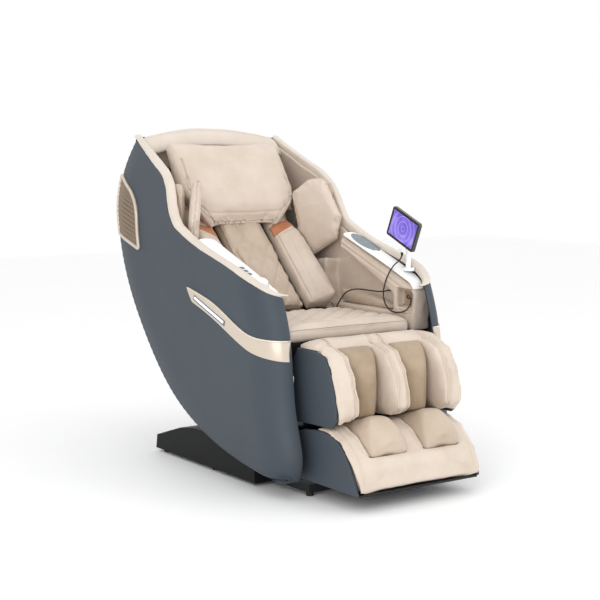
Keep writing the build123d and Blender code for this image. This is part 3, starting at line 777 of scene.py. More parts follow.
def shell_x(y, z):
    """Distance of the shell's outer face from the chair's middle plane."""
    behind = y - np.interp(z, front_z, front_y)
    turn = np.clip(1 - behind / WRAP, 0, 1)
    return HALF - (HALF - FRONT_X) * (1 - np.sqrt(1 - turn ** 2)) - crown_roll(y, z)


def on_shell(spots, lift=0.0):
    """Points on the left shell over Y and Z spots, lifted off its face."""
    spots = np.array(spots, float)
    y, z, step = spots[:, 0], spots[:, 1], 0.0015
    slope_y = (shell_x(y + step, z) - shell_x(y - step, z)) / (2 * step)
    slope_z = (shell_x(y, z + step) - shell_x(y, z - step)) / (2 * step)
    normal = np.stack([np.ones_like(y), -slope_y, -slope_z], axis=1)
    normal /= np.linalg.norm(normal, axis=1)[:, None]
    return np.stack([shell_x(y, z), y, z], axis=1) + normal * np.reshape(lift, (-1, 1))


def shell_panel():
    """Outer skin of the left shell, with a rolled rear edge and a curved front."""
    inward = square_to(rear_line)
    edge = rear_line + inward * REAR_ROLL
    edge_x = shell_x(edge[:, 0], edge[:, 1])
    rows = []
    for x in np.linspace(SHELL_RIM, 351 * MM, 5):
        rows.append(np.column_stack([np.full(len(edge), x), rear_line]))
    for angle in np.radians([75, 60, 45, 30, 15]):
        spot = rear_line + inward * REAR_ROLL * (1 - math.sin(angle))
        rows.append(np.column_stack([edge_x - REAR_ROLL * (1 - math.cos(angle)), spot]))
    for share in 1 - np.linspace(1, 0, 72) ** 2:
        spot = edge * (1 - share) + rim_line * share
        rows.append(np.column_stack([shell_x(spot[:, 0], spot[:, 1]), spot]))
    return make("shell_panel_left", np.concatenate(rows), quads(len(rows), len(edge)))


shell_left = shell_panel()
face_out(shell_left, 0)
modify(shell_left, "SOLIDIFY", thickness=0.006, offset=-1.0)
bevel(shell_left, 0.0015, 2, 50)
bake(shell_left)

LEAN, LEAN_START, LEAN_END, LEAN_BACK = 62 * MM, 870 * MM, 1200 * MM, 1.43


def lean_in(obj):
    """Draws the top of a piece in towards the head and back."""
    co = coords(obj)
    lean = LEAN * fade(co[:, 2], LEAN_START, LEAN_END)
    co[:, 0] *= 1 - lean / HALF
    co[:, 1] += LEAN_BACK * lean
    put(obj, co)
    return obj


def both(obj, name, material, slot, *nodes, body="recliner"):
    """Dresses a left-hand piece and its mirror image."""
    twin = mirrored(obj, f"{name}_right")
    obj.name = f"{name}_left"
    dress(obj, material, body, slot, *nodes)
    dress(twin, material, body, slot, *nodes)
    return obj, twin


shell_right = mirrored(lean_in(shell_left), "shell_panel_right")
dress(shell_left, SHELL, "recliner", "shell_paint", "shell_left")
dress(shell_right, SHELL, "recliner", "shell_paint", "shell_right")


PATCH_SINK = 0.002


def patch(name, upper, lower, profile, count=90, rows=10):
    """Closed panel on the shell between two lines; profile gives its lift across."""
    top, bottom = spread(upper, count), spread(lower, count)
    verts = [on_shell(top * (1 - share) + bottom * share, profile(share))
             for share in np.linspace(0, 1, rows)]
    verts += [on_shell(bottom, -PATCH_SINK), on_shell(top, -PATCH_SINK)]
    faces = quads(rows + 2, count, wrap_rows=True) + strip_ends(rows + 2, count)
    obj = make(name, np.concatenate(verts), faces)
    bevel(obj, 0.0008, 2, 40)
    return bake(obj)


def ribbon(name, line, section, closed=True):
    """Band along a line on the shell; section is (offset, lift) pairs in metres."""
    line = np.array(line, float)
    tangent = np.roll(line, -1, axis=0) - np.roll(line, 1, axis=0)
    if not closed:
        tangent[0], tangent[-1] = line[1] - line[0], line[-1] - line[-2]
    tangent /= np.linalg.norm(tangent, axis=1)[:, None]
    across = np.stack([-tangent[:, 1], tangent[:, 0]], axis=1)
    rows = [on_shell(line + across * offset, lift) for offset, lift in section]
    faces = quads(len(rows), len(line), wrap_rows=True, wrap_cols=closed)
    if not closed:
        faces += strip_ends(len(rows), len(line))
    return make(name, np.concatenate(rows), faces)


STRIP_UPPER = [(150, 636), (60, 617), (-20, 596), (-110, 560), (-189, 527), (-262, 508), (-354, 500)]
STRIP_LOWER = [(112, 587), (30, 562), (-61, 529), (-172, 484), (-238, 462), (-300, 448), (-362, 436)]
strip_upper = curve(STRIP_UPPER, 110)
strip_lower = curve(STRIP_LOWER, 110)
strip = patch("strip", strip_upper, strip_lower,
              lambda share: 0.0024 + 0.0012 * math.sin(math.pi * share))
both(strip, "accent_strip", CHAMPAGNE, "champagne", "accent_strips")
EDGE_SECTION = [(-0.0026, -0.001), (-0.0026, 0.0038), (-0.0012, 0.0052), (0.0012, 0.0052),
                (0.0026, 0.0038), (0.0026, -0.001)]
strip_edge = ribbon("strip_edge", strip_upper[2:], EDGE_SECTION, closed=False)
both(strip_edge, "accent_strip_edge", CHAMPAGNE_EDGE, "champagne")

LED_LINE = curve([(95, 606), (0, 572), (-100, 537)], 60)
led_bezel = ribbon("led_bezel", LED_LINE,
                   [(-0.0075, 0.002), (-0.0075, 0.0046), (-0.006, 0.0054), (0.009, 0.0054),
                    (0.0105, 0.0046), (0.0105, 0.002)], closed=False)
both(led_bezel, "led_bezel", SLATE, "champagne")
led = ribbon("led", LED_LINE[2:-2],
             [(-0.0042, 0.003), (-0.0042, 0.006), (-0.0028, 0.0072), (0.0028, 0.0072),
              (0.0042, 0.006), (0.0042, 0.003)], closed=False)
both(led, "led_bar", LED, "led_white", "led_bars")

GRILLE_REAR = [(634, 1008), (656, 905), (640, 792)]
GRILLE_FRONT = [(545, 952), (507, 905), (494, 820), (482, 744)]
GRILLE_SLATS = 13
grille_rear, grille_front = curve(GRILLE_REAR, 53), curve(GRILLE_FRONT, 53)
grille_back = patch("grille_back", grille_rear, grille_front, lambda share: 0.0008, 53, 12)
both(lean_in(grille_back), "speaker_cloth", CLOTH, "bronze", "speakers")
slats = []
for index in range(GRILLE_SLATS):
    top = index * 52 // GRILLE_SLATS + 1
    high, deep = [np.array([grille_rear[k] * (1 - s) + grille_front[k] * s
                            for s in np.linspace(0.04, 0.96, 24)]) for k in (top, top + 3)]
    rows = [on_shell(high, 0.0012), on_shell(high, 0.0030), on_shell(deep, 0.0072), on_shell(deep, 0.0052)]
    slats.append((np.concatenate(rows), quads(4, 24, wrap_rows=True) + strip_ends(4, 24)))
louvres = make("louvres", *together(*slats), shade=False)
both(lean_in(louvres), "speaker_louvres", BRONZE, "bronze", "speaker_grilles")
corner_top, corner_low = [grille_rear[0], grille_front[0]], [grille_front[-1], grille_rear[-1]]
grille_ring = spread(np.concatenate([grille_rear[::-1], spread(corner_top, 12)[1:-1], grille_front,
                                     spread(corner_low, 14)[1:], grille_rear[-1:]]), 161)[:-1]
frame_ring = ribbon("grille_frame", rounded(grille_ring, 6),
                    [(-0.006, -0.001), (-0.006, 0.007), (-0.0035, 0.0092), (0.0035, 0.0092),
                     (0.006, 0.007), (0.006, -0.001)])
both(lean_in(frame_ring), "speaker_frame", CHAMPAGNE, "champagne")

# ------------------------------------------------------------------ trims and hood

TRIM_TOP = [[(537, 1158), (392, 1076), (318, 1034)],
            [(318, 1034), (272, 984), (250, 905), (214, 846)],
            [(214, 846), (118, 802), (-72, 743), (-232, 690), (-313, 642)]]
TRIM_LOW = [CREST, NECK, ARM]
TRIM_SECTION = [(368, -0.14), (375.5, 0.04), (377, 0.34), (375.5, 0.62), (371, 0.80), (362, 0.90),
                (352, 0.92), (345, 0.82), (341.5, 0.5), (342, -1.6)]


def trim_sweep(low_parts, top_parts, section, counts):
    """Rounded edging between a lower and an upper line, as a closed loop section."""
    low, top = [chain(*[curve(part, n) for part, n in zip(parts, counts)])
                for parts in (low_parts, top_parts)]
    for line in (low, top):
        for _ in range(4):
            line[1:-1] = (line[:-2] + 2 * line[1:-1] + line[2:]) / 4
    inset = HALF - shell_x(low[:, 0], low[:, 1]) - crown_roll(low[:, 0], low[:, 1])
    rows = [np.column_stack([x * MM - inset, low * (1 - h) + top * h]) for x, h in section]
    faces = quads(len(rows), len(low), wrap_rows=True) + strip_ends(len(rows), len(low))
    return np.concatenate(rows), faces


trim = make("trim", *trim_sweep(TRIM_LOW, TRIM_TOP, TRIM_SECTION, (34, 34, 80)))
refine(trim)
press(lean_in(trim), 0.0006 * ripple(coords(trim), 55.0) - 0.0003)
trim, trim_right = both(trim, "side_trim", TRIM, "trim_cream", "side_trims")

HOOD_RING = [(498, 1118), (496, 1140), (506, 1164), (522, 1176), (541, 1180), (562, 1170), (588, 1136),
             (612, 1090), (630, 1044), (622, 1036), (600, 1040), (576, 1068), (552, 1100), (530, 1116),
             (510, 1112)]
HOOD_DROP = 42 * MM


def hood_mesh():
    """Padded crest: a closed section carried across, arched and drawn down at its ends."""
    ring = curve(HOOD_RING + HOOD_RING[:1], 61)[:-1]
    middle = ring.mean(axis=0)
    rows = []
    for x in np.linspace(-1, 1, 97):
        end = np.clip((abs(x) - 0.93) / 0.07, 0, 1)
        shrink = math.sqrt(max(1 - end ** 2, 0.02)) ** 0.5
        section = middle + (ring - middle) * shrink
        drop = HOOD_DROP * x * x + 0.006 * end
        rows.append(np.column_stack([np.full(len(ring), x * 0.3535), section[:, 0], section[:, 1] - drop]))
    faces = quads(len(rows), len(ring), wrap_cols=True) + ring_ends(len(rows) * len(ring), len(ring))
    return make("hood_crest", np.concatenate(rows), faces)


hood = refine(hood_mesh())
lean_in(hood)
press(hood, 0.0022 * ripple(coords(hood), 11.0, 3) + 0.0008 * ripple(coords(hood), 40.0, 4))
dress(hood, TRIM, "recliner", "trim_cream", "hood")
hood_seams = []
for y, z in ((0.606, 1.175), (0.665, 1.13)):
    hood_seams.append([(x, y, z - HOOD_DROP * (x / 0.3) ** 2) for x in np.linspace(-0.27, 0.27, 80)])
    seam(hood, hood_seams[-1], 0.0028, 0.0032)
HOOD_STITCH_SHIFTS = [(0, -0.005, -0.001), (0, 0.005, -0.006)]
stitches("hood_stitches", hood,
         [np.array(line) + shift for line, shift in zip(hood_seams, HOOD_STITCH_SHIFTS)])

# ------------------------------------------------------------------ soft goods: cages and cloth simulation

BACK_FOOT = (113, 540)
FRAMES, PRESSURE = 20, 4.0


def up_back(s, out):
    """Y and Z (mm) at a distance up the backrest and a distance out from it."""
    return BACK_FOOT[0] + (s - out) / math.sqrt(2), BACK_FOOT[1] + (s + out) / math.sqrt(2)


def back_loft(sections):
    """Points and faces of (X, out) sections with as many points each, at distances up the backrest."""
    count = len(sections[0][1])
    verts = []
    for s, section in sections:
        for x, out in section:
            y, z = up_back(s, out)
            verts.append((x * MM, y * MM, z * MM))
    return verts, ring_ends(len(verts), count) + quads(len(sections), count, wrap_cols=True)


PAD_YAW, PAD_CENTRE = math.radians(60), (278, 262)
PAD_ALONG = np.array([math.cos(PAD_YAW), -math.sin(PAD_YAW)])
PAD_AWAY = np.array([math.sin(PAD_YAW), math.cos(PAD_YAW)])


def yawed(outline, depth0, depth1, tilt=0.0):
    """Points and faces of a pad that faces inwards and forwards: an outline along it and in Z, in mm."""
    def place(reach, z, depth):
        x, y = np.array(PAD_CENTRE) + reach * PAD_ALONG + (depth - tilt * (z - 720)) * PAD_AWAY
        return x, y, z
    return extruded(outline, (depth0, depth1), place)


CAGES = []


def cage(name, parts, voxel, rounds, cap, keep=None, inside=None, out_of=()):
    """Slightly small body of a pad. It swells by up to cap metres; keep holds it off its neighbours."""
    obj = make(name, *together(*parts), shade=False)
    if inside:
        carve(obj, "INTERSECT", *inside)
    carve(obj, "DIFFERENCE", *out_of)
    voxels(obj, voxel, rounds)
    CAGES.append((obj, cap, keep))
    return obj


def swell():
    """Runs every cage's cloth together, caps how far it moves and refines it."""
    rest = {obj.name: coords(obj) for obj, _, _ in CAGES}
    for obj, _, _ in CAGES:
        cloth = modify(obj, "CLOTH").settings
        cloth.quality = 4
        cloth.use_pressure = True
        cloth.uniform_pressure_force = PRESSURE
        cloth.effector_weights.gravity = 0.0
    for step in range(1, FRAMES + 1):
        SCENE.frame_set(step)
    graph = bpy.context.evaluated_depsgraph_get()
    moved = {}
    for obj, _, _ in CAGES:
        moved[obj.name] = points_of(obj.evaluated_get(graph).to_mesh())
    for obj, cap, _ in CAGES:
        obj.modifiers.clear()
        step = moved[obj.name] - rest[obj.name]
        length = np.linalg.norm(step, axis=1)
        limit = cap * np.tanh(length / cap) / np.maximum(length, 1e-9)
        put(obj, rest[obj.name] + step * limit[:, None])
        relax(obj, 2)
    SCENE.frame_set(1)
    for obj, _, keep in CAGES:
        refine(obj)
        if keep:
            put(obj, keep(coords(obj)))
        obj.data.polygons.foreach_set("use_smooth", [True] * len(obj.data.polygons))


def within(x=None, y=None, z=None):
    """Holds points between low and high values of an axis."""
    def keep(co):
        for axis, span in enumerate((x, y, z)):
            if span:
                co[:, axis] = np.clip(co[:, axis], span[0] * MM, span[1] * MM)
        return co
    return keep


SEAT = [(-290, 483), (102, 483), (102, 522), (-276, 525), (-289, 513)]
seat = cage("seat_cushion_soft", [prism(SEAT, -256, 256)], 0.007, 4, 0.011,
            within((-264, 264), (-294, 112), (478.5, 540)))

BACK = [(118, 540), (418, 840), (522, 1018), (556, 998), (449, 812), (147, 512)]
back = cage("back_cushion_soft", [prism(BACK, -104, 104)], 0.007, 3, 0.012, within((-112, 112)))


def bolster_section(inner, crest, edge):
    return [(inner, -3), (214, crest), (222, crest - 10), (edge, -30), (edge, -46), (inner, -46)]


BOLSTER = [(16, bolster_section(122, 50, 222)), (160, bolster_section(117, 50, 222)),
           (330, bolster_section(115, 38, 222)), (420, bolster_section(115, 4, 226)),
           (620, bolster_section(115, 2, 228))]
bolster = cage("back_bolster", [back_loft(BOLSTER)], 0.006, 4, 0.007, within((113, 232)))

PILLOW = [(370, 814), (373, 895), (432, 1000), (506, 1116), (530, 1129), (556, 1106), (424, 866),
          (398, 818)]
pillow = cage("pillow", [prism(PILLOW, -236, 236)], 0.006, 4, 0.014)

SHOULDER = [(-128, 940), (-52, 994), (12, 998), (80, 858), (60, 764), (-50, 700), (-108, 792)]
PAD_TILT = 0.09
shoulder_inner = cage("shoulder_pad_inner", [yawed(SHOULDER, 0, 24, PAD_TILT)], 0.005, 7, 0.008,
                      within((210, 322)))
SHOULDER_OUTER = [(-104, 930), (-48, 982), (14, 984), (76, 858), (54, 776), (-44, 714), (-88, 792)]
SHOULDER_SPACE = [(100, 600), (420, 600), (420, 1100), (100, 1100)]
shoulder_outer = cage("shoulder_pad_outer", [yawed(SHOULDER_OUTER, 38, 98)], 0.005, 7, 0.006,
                      within((226, 331)), inside=[prism(SHOULDER_SPACE, 200, 327)])

FOREARM = [(-158, 546), (-158, 553), (12, 583), (141, 593), (141, 546)]
forearm = cage("forearm_pad", [prism(FOREARM, 275, 322)], 0.005, 3, 0.006,
               within((270, 327), (-163, 146), (543.5, 606)))

CALF = [(-388, 250), (-388, 484), (-443, 486), (-506, 462), (-548, 402), (-565, 332), (-564, 284),
        (-520, 256)]
ROOF = [(-327, 474), (-328, 490), (-388, 495), (-420, 492), (-434, 478), (-424, 456), (-358, 452)]
CALF_EDGE = [(-425, 476), (-478, 460), (-509, 420), (-535, 350), (-546, 292), (-540, 260), (-520, 246)]
CALF_WRAP = [(-425, 486), (-443, 486), (-506, 462), (-548, 402), (-565, 332), (-564, 284), (-540, 250)]
INNER_REACH, WRAP_REACH = 0.2365, 0.013


def beside(line):
    """Holds a cushion inside its side panels, except where it wraps round their front edge."""
    edge = np.array(line) * MM

    def keep(co):
        ahead = np.array([y < np.interp(z, edge[::-1, 1], edge[::-1, 0]) for _, y, z in co])
        reach = INNER_REACH + WRAP_REACH * (ahead | (co[:, 2] > edge[0, 1] - 0.002))
        co[:, 0] = np.clip(co[:, 0], -reach, reach)
        return co
    return keep


calf_parts = [prism(CALF, -27, 27), *prisms(CALF, 180, 233), prism(ROOF, -247, 247),
              *prisms(CALF_WRAP + CALF_EDGE[::-1], 225, 246)]
calf = cage("calf_cushion", calf_parts, 0.006, 3, 0.010, beside(CALF_EDGE))

WELL_SIDE = [(-390, 250), (-390, 462), (-432, 476), (-462, 462), (-500, 420), (-530, 350), (-534, 300),
             (-520, 266), (-450, 250)]
WELL_PLAN = [(40, -389), (40, -424), (50, -468), (72, -506), (102, -522), (132, -510), (156, -468),
             (168, -424), (168, -389)]
calf_well = cage("calf_well_pad", [plan(WELL_PLAN, 240, 480)], 0.005, 7, 0.010,
                 within((34, 178), (-560, -387)), inside=[prism(WELL_SIDE, 30, 184)])

FOOT = [(-388, 62), (-388, 214), (-430, 236), (-500, 238), (-564, 214), (-630, 150), (-658, 84), (-660, 62)]
FOOT_WELL = [(-402, 104), (-402, 290), (-600, 290), (-622, 166), (-606, 126), (-570, 104)]
FOOT_EDGE = [(-400, 228), (-481, 230), (-556, 206), (-618, 142), (-648, 84), (-656, 54)]
BESIDE_FOOT = [(-380, 40), (-380, 228)] + FOOT_EDGE
foot = cage("foot_cushion_soft", [prism(FOOT, -247, 247)], 0.006, 3, 0.009, beside(FOOT_EDGE),
            out_of=prisms(FOOT_WELL, 34, 182) + prisms(BESIDE_FOOT, 233, 260))

INSTEP = [(-410, 160), (-410, 226), (-470, 238), (-520, 252), (-548, 268), (-572, 266), (-598, 240),
          (-622, 198), (-632, 172), (-618, 158), (-540, 150)]
ARCH = [(38, 140), (38, 200), (52, 242), (76, 270), (108, 280), (140, 270), (164, 242), (178, 200),
        (178, 140)]
instep = cage("instep_pad", [prism(INSTEP, 30, 186)], 0.005, 10, 0.009, within((36, 180), (-634, -405)),
              inside=[across_section(ARCH, -640, -380)])
SOLE = [(-470, 110), (-570, 110), (-600, 124), (-612, 146), (-596, 152), (-570, 138), (-470, 126)]
sole = cage("sole_pad", [prism(SOLE, 48, 168)], 0.005, 4, 0.006, within((42, 174)))

ARM_BLOCK = [(148, 782), (133, 782), (-158, 674), (-264, 631), (-278, 610), (-272, 536), (-266, 478),
             (240, 478), (300, 560), (336, 640), (300, 690), (190, 706), (148, 716)]
CHANNEL = [(236, 640), (226, 720), (150, 745), (103, 730), (-166, 600), (-166, 541), (210, 541)]
ARM_POCKET = [(-264, 556), (-264, 608), (-186, 626), (-186, 556)]
arm = cage("arm_body", [prism(ARM_BLOCK, 271, 353)], 0.006, 3, 0.004,
           within((268, 356), (-283, 350)),
           out_of=[prism(CHANNEL, 260, 329), prism(ARM_POCKET, 260, 312)])

LINING = [(150, 690), (150, 786), (232, 824), (268, 896), (290, 962), (322, 1008), (396, 1044), (502, 1116),
          (536, 1112), (580, 1056), (628, 1010), (632, 930), (600, 800), (470, 640), (330, 610)]
lining = cage("head_lining", [prism(LINING, 335, 343)], 0.005, 2, 0.004, within((332, 345)))
BOARD = [(500, 862), (586, 1008), (597, 1004), (510, 857)]
board = cage("head_board", [prism(BOARD, -316, 316)], 0.007, 2, 0.006)
BACK_EDGE = [(150, 500), (455, 806), (566, 996), (576, 990), (464, 797), (160, 490)]
back_edge = cage("back_edge", [prism(BACK_EDGE, 224, 264)], 0.006, 2, 0.004, within((222, 266)))

swell()

# ------------------------------------------------------------------ soft goods: crowns, seams and stitching


def back_frame(obj):
    """X, distance up the back and distance out of it for each point of a piece, in metres."""
    co = coords(obj)
    y, z = co[:, 1] - BACK_FOOT[0] * MM, co[:, 2] - BACK_FOOT[1] * MM
    return co[:, 0], (y + z) / math.sqrt(2), (z - y) / math.sqrt(2)


def back_point(x, s, out):
    """Point in space from X, distance up the back and distance out, in metres."""
    return (x, BACK_FOOT[0] * MM + (s - out) / math.sqrt(2), BACK_FOOT[1] * MM + (s + out) / math.sqrt(2))


def diamonds(u, v, width, length):
    """Height from 0 to 1 of sewn diamonds: 0 on the stitch lines, 1 at the middles."""
    first, second = u / width + v / length, u / width - v / length
    return np.sqrt(np.minimum(np.abs(np.sin(math.pi * first)), np.abs(np.sin(math.pi * second))))


def creases(obj, amount, scale, stretch=(1, 1, 1), seed=0):
    """Soft folds of leather, as ridges of noise."""
    spots = coords(obj) * stretch
    ridge = 1 - np.abs(ripple(spots, scale, seed) + 0.5 * ripple(spots, scale * 2.1, seed + 1))
    return press(obj, amount * (np.clip(ridge, 0, 1) ** 3 - 0.3))


def profile_line(points, x, count=90, lift=0.004):
    """Line over a pad's front at one X, along Y and Z points in mm."""
    line = curve(points, count)
    return np.column_stack([np.full(count, x), line[:, 0] - lift * 0.5, line[:, 1] + lift * 0.5])


# Seat: sewn diamonds inside a plain border
x, y, z = coords(seat).T
top = fade(normals(seat)[:, 2], 0.3, 0.8)
inner = fade(0.232 - np.abs(x), 0, 0.012) * fade(y, -0.232, -0.220) * fade(0.085 - y, 0, 0.012)
crown = 0.006 * (1 - (x / 0.262) ** 2) * top
quilt = 0.0075 * (diamonds(x, y, 0.078, 0.072) - 0.75) * inner * top
press(seat, crown + quilt)
seat_border = [np.linspace((-0.232, -0.234, 0.54), (0.232, -0.234, 0.54), 160),
               np.linspace((-0.234, -0.232, 0.54), (-0.234, 0.09, 0.54), 90),
               np.linspace((0.234, -0.232, 0.54), (0.234, 0.09, 0.54), 90)]
for line in seat_border:
    seam(seat, line, 0.004, 0.0035)
creases(seat, 0.0012, 16.0, (1.0, 2.2, 1.0), 5)
dress(seat, CREAM, "recliner", "cream_leather", "seat_cushion")
stitches("seat_stitches", seat, [seat_border[0] + (0, -0.005, 0), *seat_border[1:]])
piping("seat_piping", seat, [np.linspace((-0.25, -0.288, 0.527), (0.25, -0.288, 0.527), 120)], 0.0022)

# Back: sewn diamonds low down, long soft folds under the head pillow
x, s, out = back_frame(back)
face = fade(-normals(back)[:, 1] + normals(back)[:, 2], 0.5, 1.1)
low = fade(0.335 - s, 0, 0.07) * fade(s, 0.0, 0.03) * fade(0.100 - np.abs(x), 0, 0.010)
folds = ripple(np.column_stack([x * 1.0, s * 0.16, np.zeros_like(x)]) + (0.013, 0, 0), 34.0, 8)
high = fade(s, 0.20, 0.34)
press(back, face * (0.008 * (1 - (x / 0.112) ** 2) + 0.0085 * (diamonds(x, s, 0.066, 0.098) - 0.75) * low
                    + 0.0065 * high * (1 - np.abs(folds) * 2)))
for edge in (-0.101, 0.101):
    seam(back, [back_point(edge, up, 0.03) for up in np.linspace(0.005, 0.40, 120)], 0.004, 0.004)
creases(back, 0.0012, 15.0, (1.6, 1.0, 1.0), 9)
put(back, within((-112, 112))(coords(back)))
dress(back, CREAM_SHADED, "recliner", "cream_leather", "back_cushion")

# Bolsters beside it, with the tan insert sewn across their tops
x, s, out = back_frame(bolster)
press(bolster, 0.004 * fade(s, 0.02, 0.08) * fade(0.33 - s, 0, 0.05))
put(bolster, within((113, 232))(coords(bolster)))
TAN_LOW, TAN_HIGH, TAN_SLOPE = 0.332, 0.386, 0.35
for up in (TAN_LOW, TAN_HIGH):
    line = [back_point(across, up + TAN_SLOPE * (across - 0.12), 0.02 + 0.4 * (across - 0.14))
            for across in np.linspace(0.112, 0.228, 60)]
    seam(bolster, line, 0.0035, 0.0032)
seam(bolster, [back_point(0.126, up, 0.01) for up in np.linspace(0.02, 0.60, 150)], 0.003, 0.0035)
seam(bolster, [back_point(0.150 + 0.03 * up, up, 0.03) for up in np.linspace(0.02, 0.32, 90)], 0.0018, 0.003)
creases(bolster, 0.0014, 17.0, (1.0, 1.0, 1.0), 12)
bolster, bolster_right = both(bolster, "back_bolster_soft", CREAM, "cream_leather", "back_bolsters")


def peel(name, obj, chosen, lift, thickness):
    """Panel sewn onto a piece: the chosen faces, lifted and given a thickness."""
    build = bmesh.new()
    build.from_mesh(obj.data)
    build.verts.ensure_lookup_table()
    bmesh.ops.delete(build, geom=[f for f in build.faces if not all(chosen[v.index] for v in f.verts)],
                     context="FACES")
    for vert in build.verts:
        vert.co += vert.normal * lift
    mesh = bpy.data.meshes.new(name)
    build.to_mesh(mesh)
    build.free()
    made = bpy.data.objects.new(name, mesh)
    SCENE.collection.objects.link(made)
    modify(made, "SOLIDIFY", thickness=thickness, offset=-1.0)
    return bake(made)


for piece, name in ((bolster, "tan_insert_left"), (bolster_right, "tan_insert_right")):
    x, s, out = back_frame(piece)
    front_facing = (normals(piece)[:, 2] - normals(piece)[:, 1]) > 0.25
    up = s - TAN_SLOPE * (np.abs(x) - 0.12)
    in_band = (up > TAN_LOW + 0.0025) & (up < TAN_HIGH - 0.0025)
    tan = peel(name, piece, in_band & front_facing, 0.0014, 0.003)
    dress(tan, TAN, "recliner", "tan_leather", "tan_inserts")

# Head pillow: rounded corners, full middle, welted edge
PILLOW_LOW, PILLOW_HIGH, PILLOW_HALF = 0.806, 1.130, 0.254


def pillow_half(z):
    """Half width of the pillow at a height."""
    low = np.clip(1 - (z - PILLOW_LOW) / 0.150, 0, 1)
    high = np.clip((z - 0.99) / (PILLOW_HIGH - 0.99), 0, 1)
    return PILLOW_HALF - 0.118 * low ** 1.4 - 0.014 * high ** 2 - 0.022 * high ** 9


def on_pillow(x, z):
    """Point just in front of the pillow's face."""
    return (x, np.interp(z, [0.81, 0.90, 1.0, 1.11], [0.350, 0.355, 0.405, 0.488]), z)


x, s, out = back_frame(pillow)
co = coords(pillow)
rise = np.clip((co[:, 2] - PILLOW_LOW) / (PILLOW_HIGH - PILLOW_LOW), 0, 1)
co[:, 0] *= pillow_half(co[:, 2]) / 0.243
bulge = 0.014 * (1 - (x / 0.25) ** 2) * np.sin(math.pi * rise) * fade(out, 0.0, 0.06)
co += bulge[:, None] * np.array([0, -0.6, 0.55])
put(pillow, co)
edge_up = np.linspace(PILLOW_LOW + 0.026, PILLOW_HIGH - 0.050, 70)
edge_across = pillow_half(edge_up) - 0.036
flat_low = [on_pillow(x, edge_up[0] - 0.004) for x in np.linspace(0, edge_across[0] - 0.02, 24)]
half_ring = np.array(flat_low + [on_pillow(x, up) for x, up in zip(edge_across, edge_up)])
half_ring = smooth(half_ring[::6], 130)
pillow_ring = np.concatenate([(half_ring * (-1, 1, 1))[::-1], half_ring[1:]])
seam(pillow, pillow_ring, 0.004, 0.004)
pillow_crease = [on_pillow(x, 0.868 + 0.008 * (x / 0.2) ** 2) for x in np.linspace(-0.165, 0.165, 120)]
seam(pillow, pillow_crease, 0.0022, 0.005)
creases(pillow, 0.0012, 12.0, (1.0, 1.6, 1.6), 15)
dress(pillow, CREAM, "recliner", "cream_leather", "headrest_pillow")
piping("pillow_piping", pillow, [pillow_ring], 0.0019)

# Shoulder pads: a thick outer layer and a thin inner one, turned towards the sitter's shoulders
for pad, seed in ((shoulder_outer, 18), (shoulder_inner, 19)):
    creases(pad, 0.0008, 14.0, (1, 1, 1), seed)
shoulder_ring = rounded(spread(np.array(SHOULDER + SHOULDER[:1], float), 161)[:-1], 12)
shoulder_ring = np.concatenate([shoulder_ring, shoulder_ring[:1]])
reach = (shoulder_ring[:, :1] + 12) * 1.09 - 12
height = (shoulder_ring[:, 1:] - 855) * 1.06 + 855
edge = np.array(PAD_CENTRE) + reach * PAD_ALONG + (10 - PAD_TILT * (height - 720)) * PAD_AWAY
shoulder_edge = np.column_stack([edge, height]) * MM
seam(shoulder_inner, shoulder_edge, 0.003, 0.0032)
both(shoulder_outer, "shoulder_pad_outer", CREAM_SHADED, "cream_leather", "shoulder_pads")
shoulder_inner, shoulder_twin = both(shoulder_inner, "shoulder_pad_inner", CREAM, "cream_leather",
                                     "shoulder_pads")
piping("shoulder_piping_left", shoulder_inner, [shoulder_edge], 0.0016)
piping("shoulder_piping_right", shoulder_twin, [shoulder_edge * (-1, 1, 1)], 0.0016)

# Forearm pads
creases(forearm, 0.001, 20.0, (1, 1, 1), 21)
both(forearm, "forearm_pad_soft", CREAM_SHADED, "cream_leather", "forearm_pads")

# Calf cushion: three rolls under one top, each with a double sewn line beside the wells
CALF_FRONT = [(-366, 500), (-443, 500), (-505, 482), (-540, 444), (-566, 390), (-580, 330), (-578, 284),
              (-545, 252)]
creases(calf, 0.0012, 13.0, (1.0, 1.0, 0.6), 24)
calf_welts, calf_threads = [], []
for across, outwards in ((0.189, -1), (-0.189, 1), (0.019, 1), (-0.019, -1)):
    line = profile_line(CALF_FRONT, across)
    seam(calf, line, 0.0055, 0.0042)
    calf_welts.append(line + (0.0045 * outwards, 0, 0))
    calf_threads.append(line - (0.006 * outwards, 0, 0))
dress(calf, CREAM, "leg_rest", "cream_leather", "calf_pads")
piping("calf_piping", calf, calf_welts, 0.0024)
stitches("calf_stitches", calf, calf_threads)

# Lining of the calf wells, full at its sides, in a darker cream that is painted shade of the deep wells
press(calf_well, 0.003 * fade(coords(calf_well)[:, 2], 0.25, 0.32))
creases(calf_well, 0.0012, 14.0, (1.0, 1.0, 0.5), 27)
put(calf_well, within((33, 179), (-566, -386.5))(coords(calf_well)))
both(calf_well, "calf_well_lining", CREAM_WELL_SHADE, "cream_leather", "calf_pads", body="leg_rest")

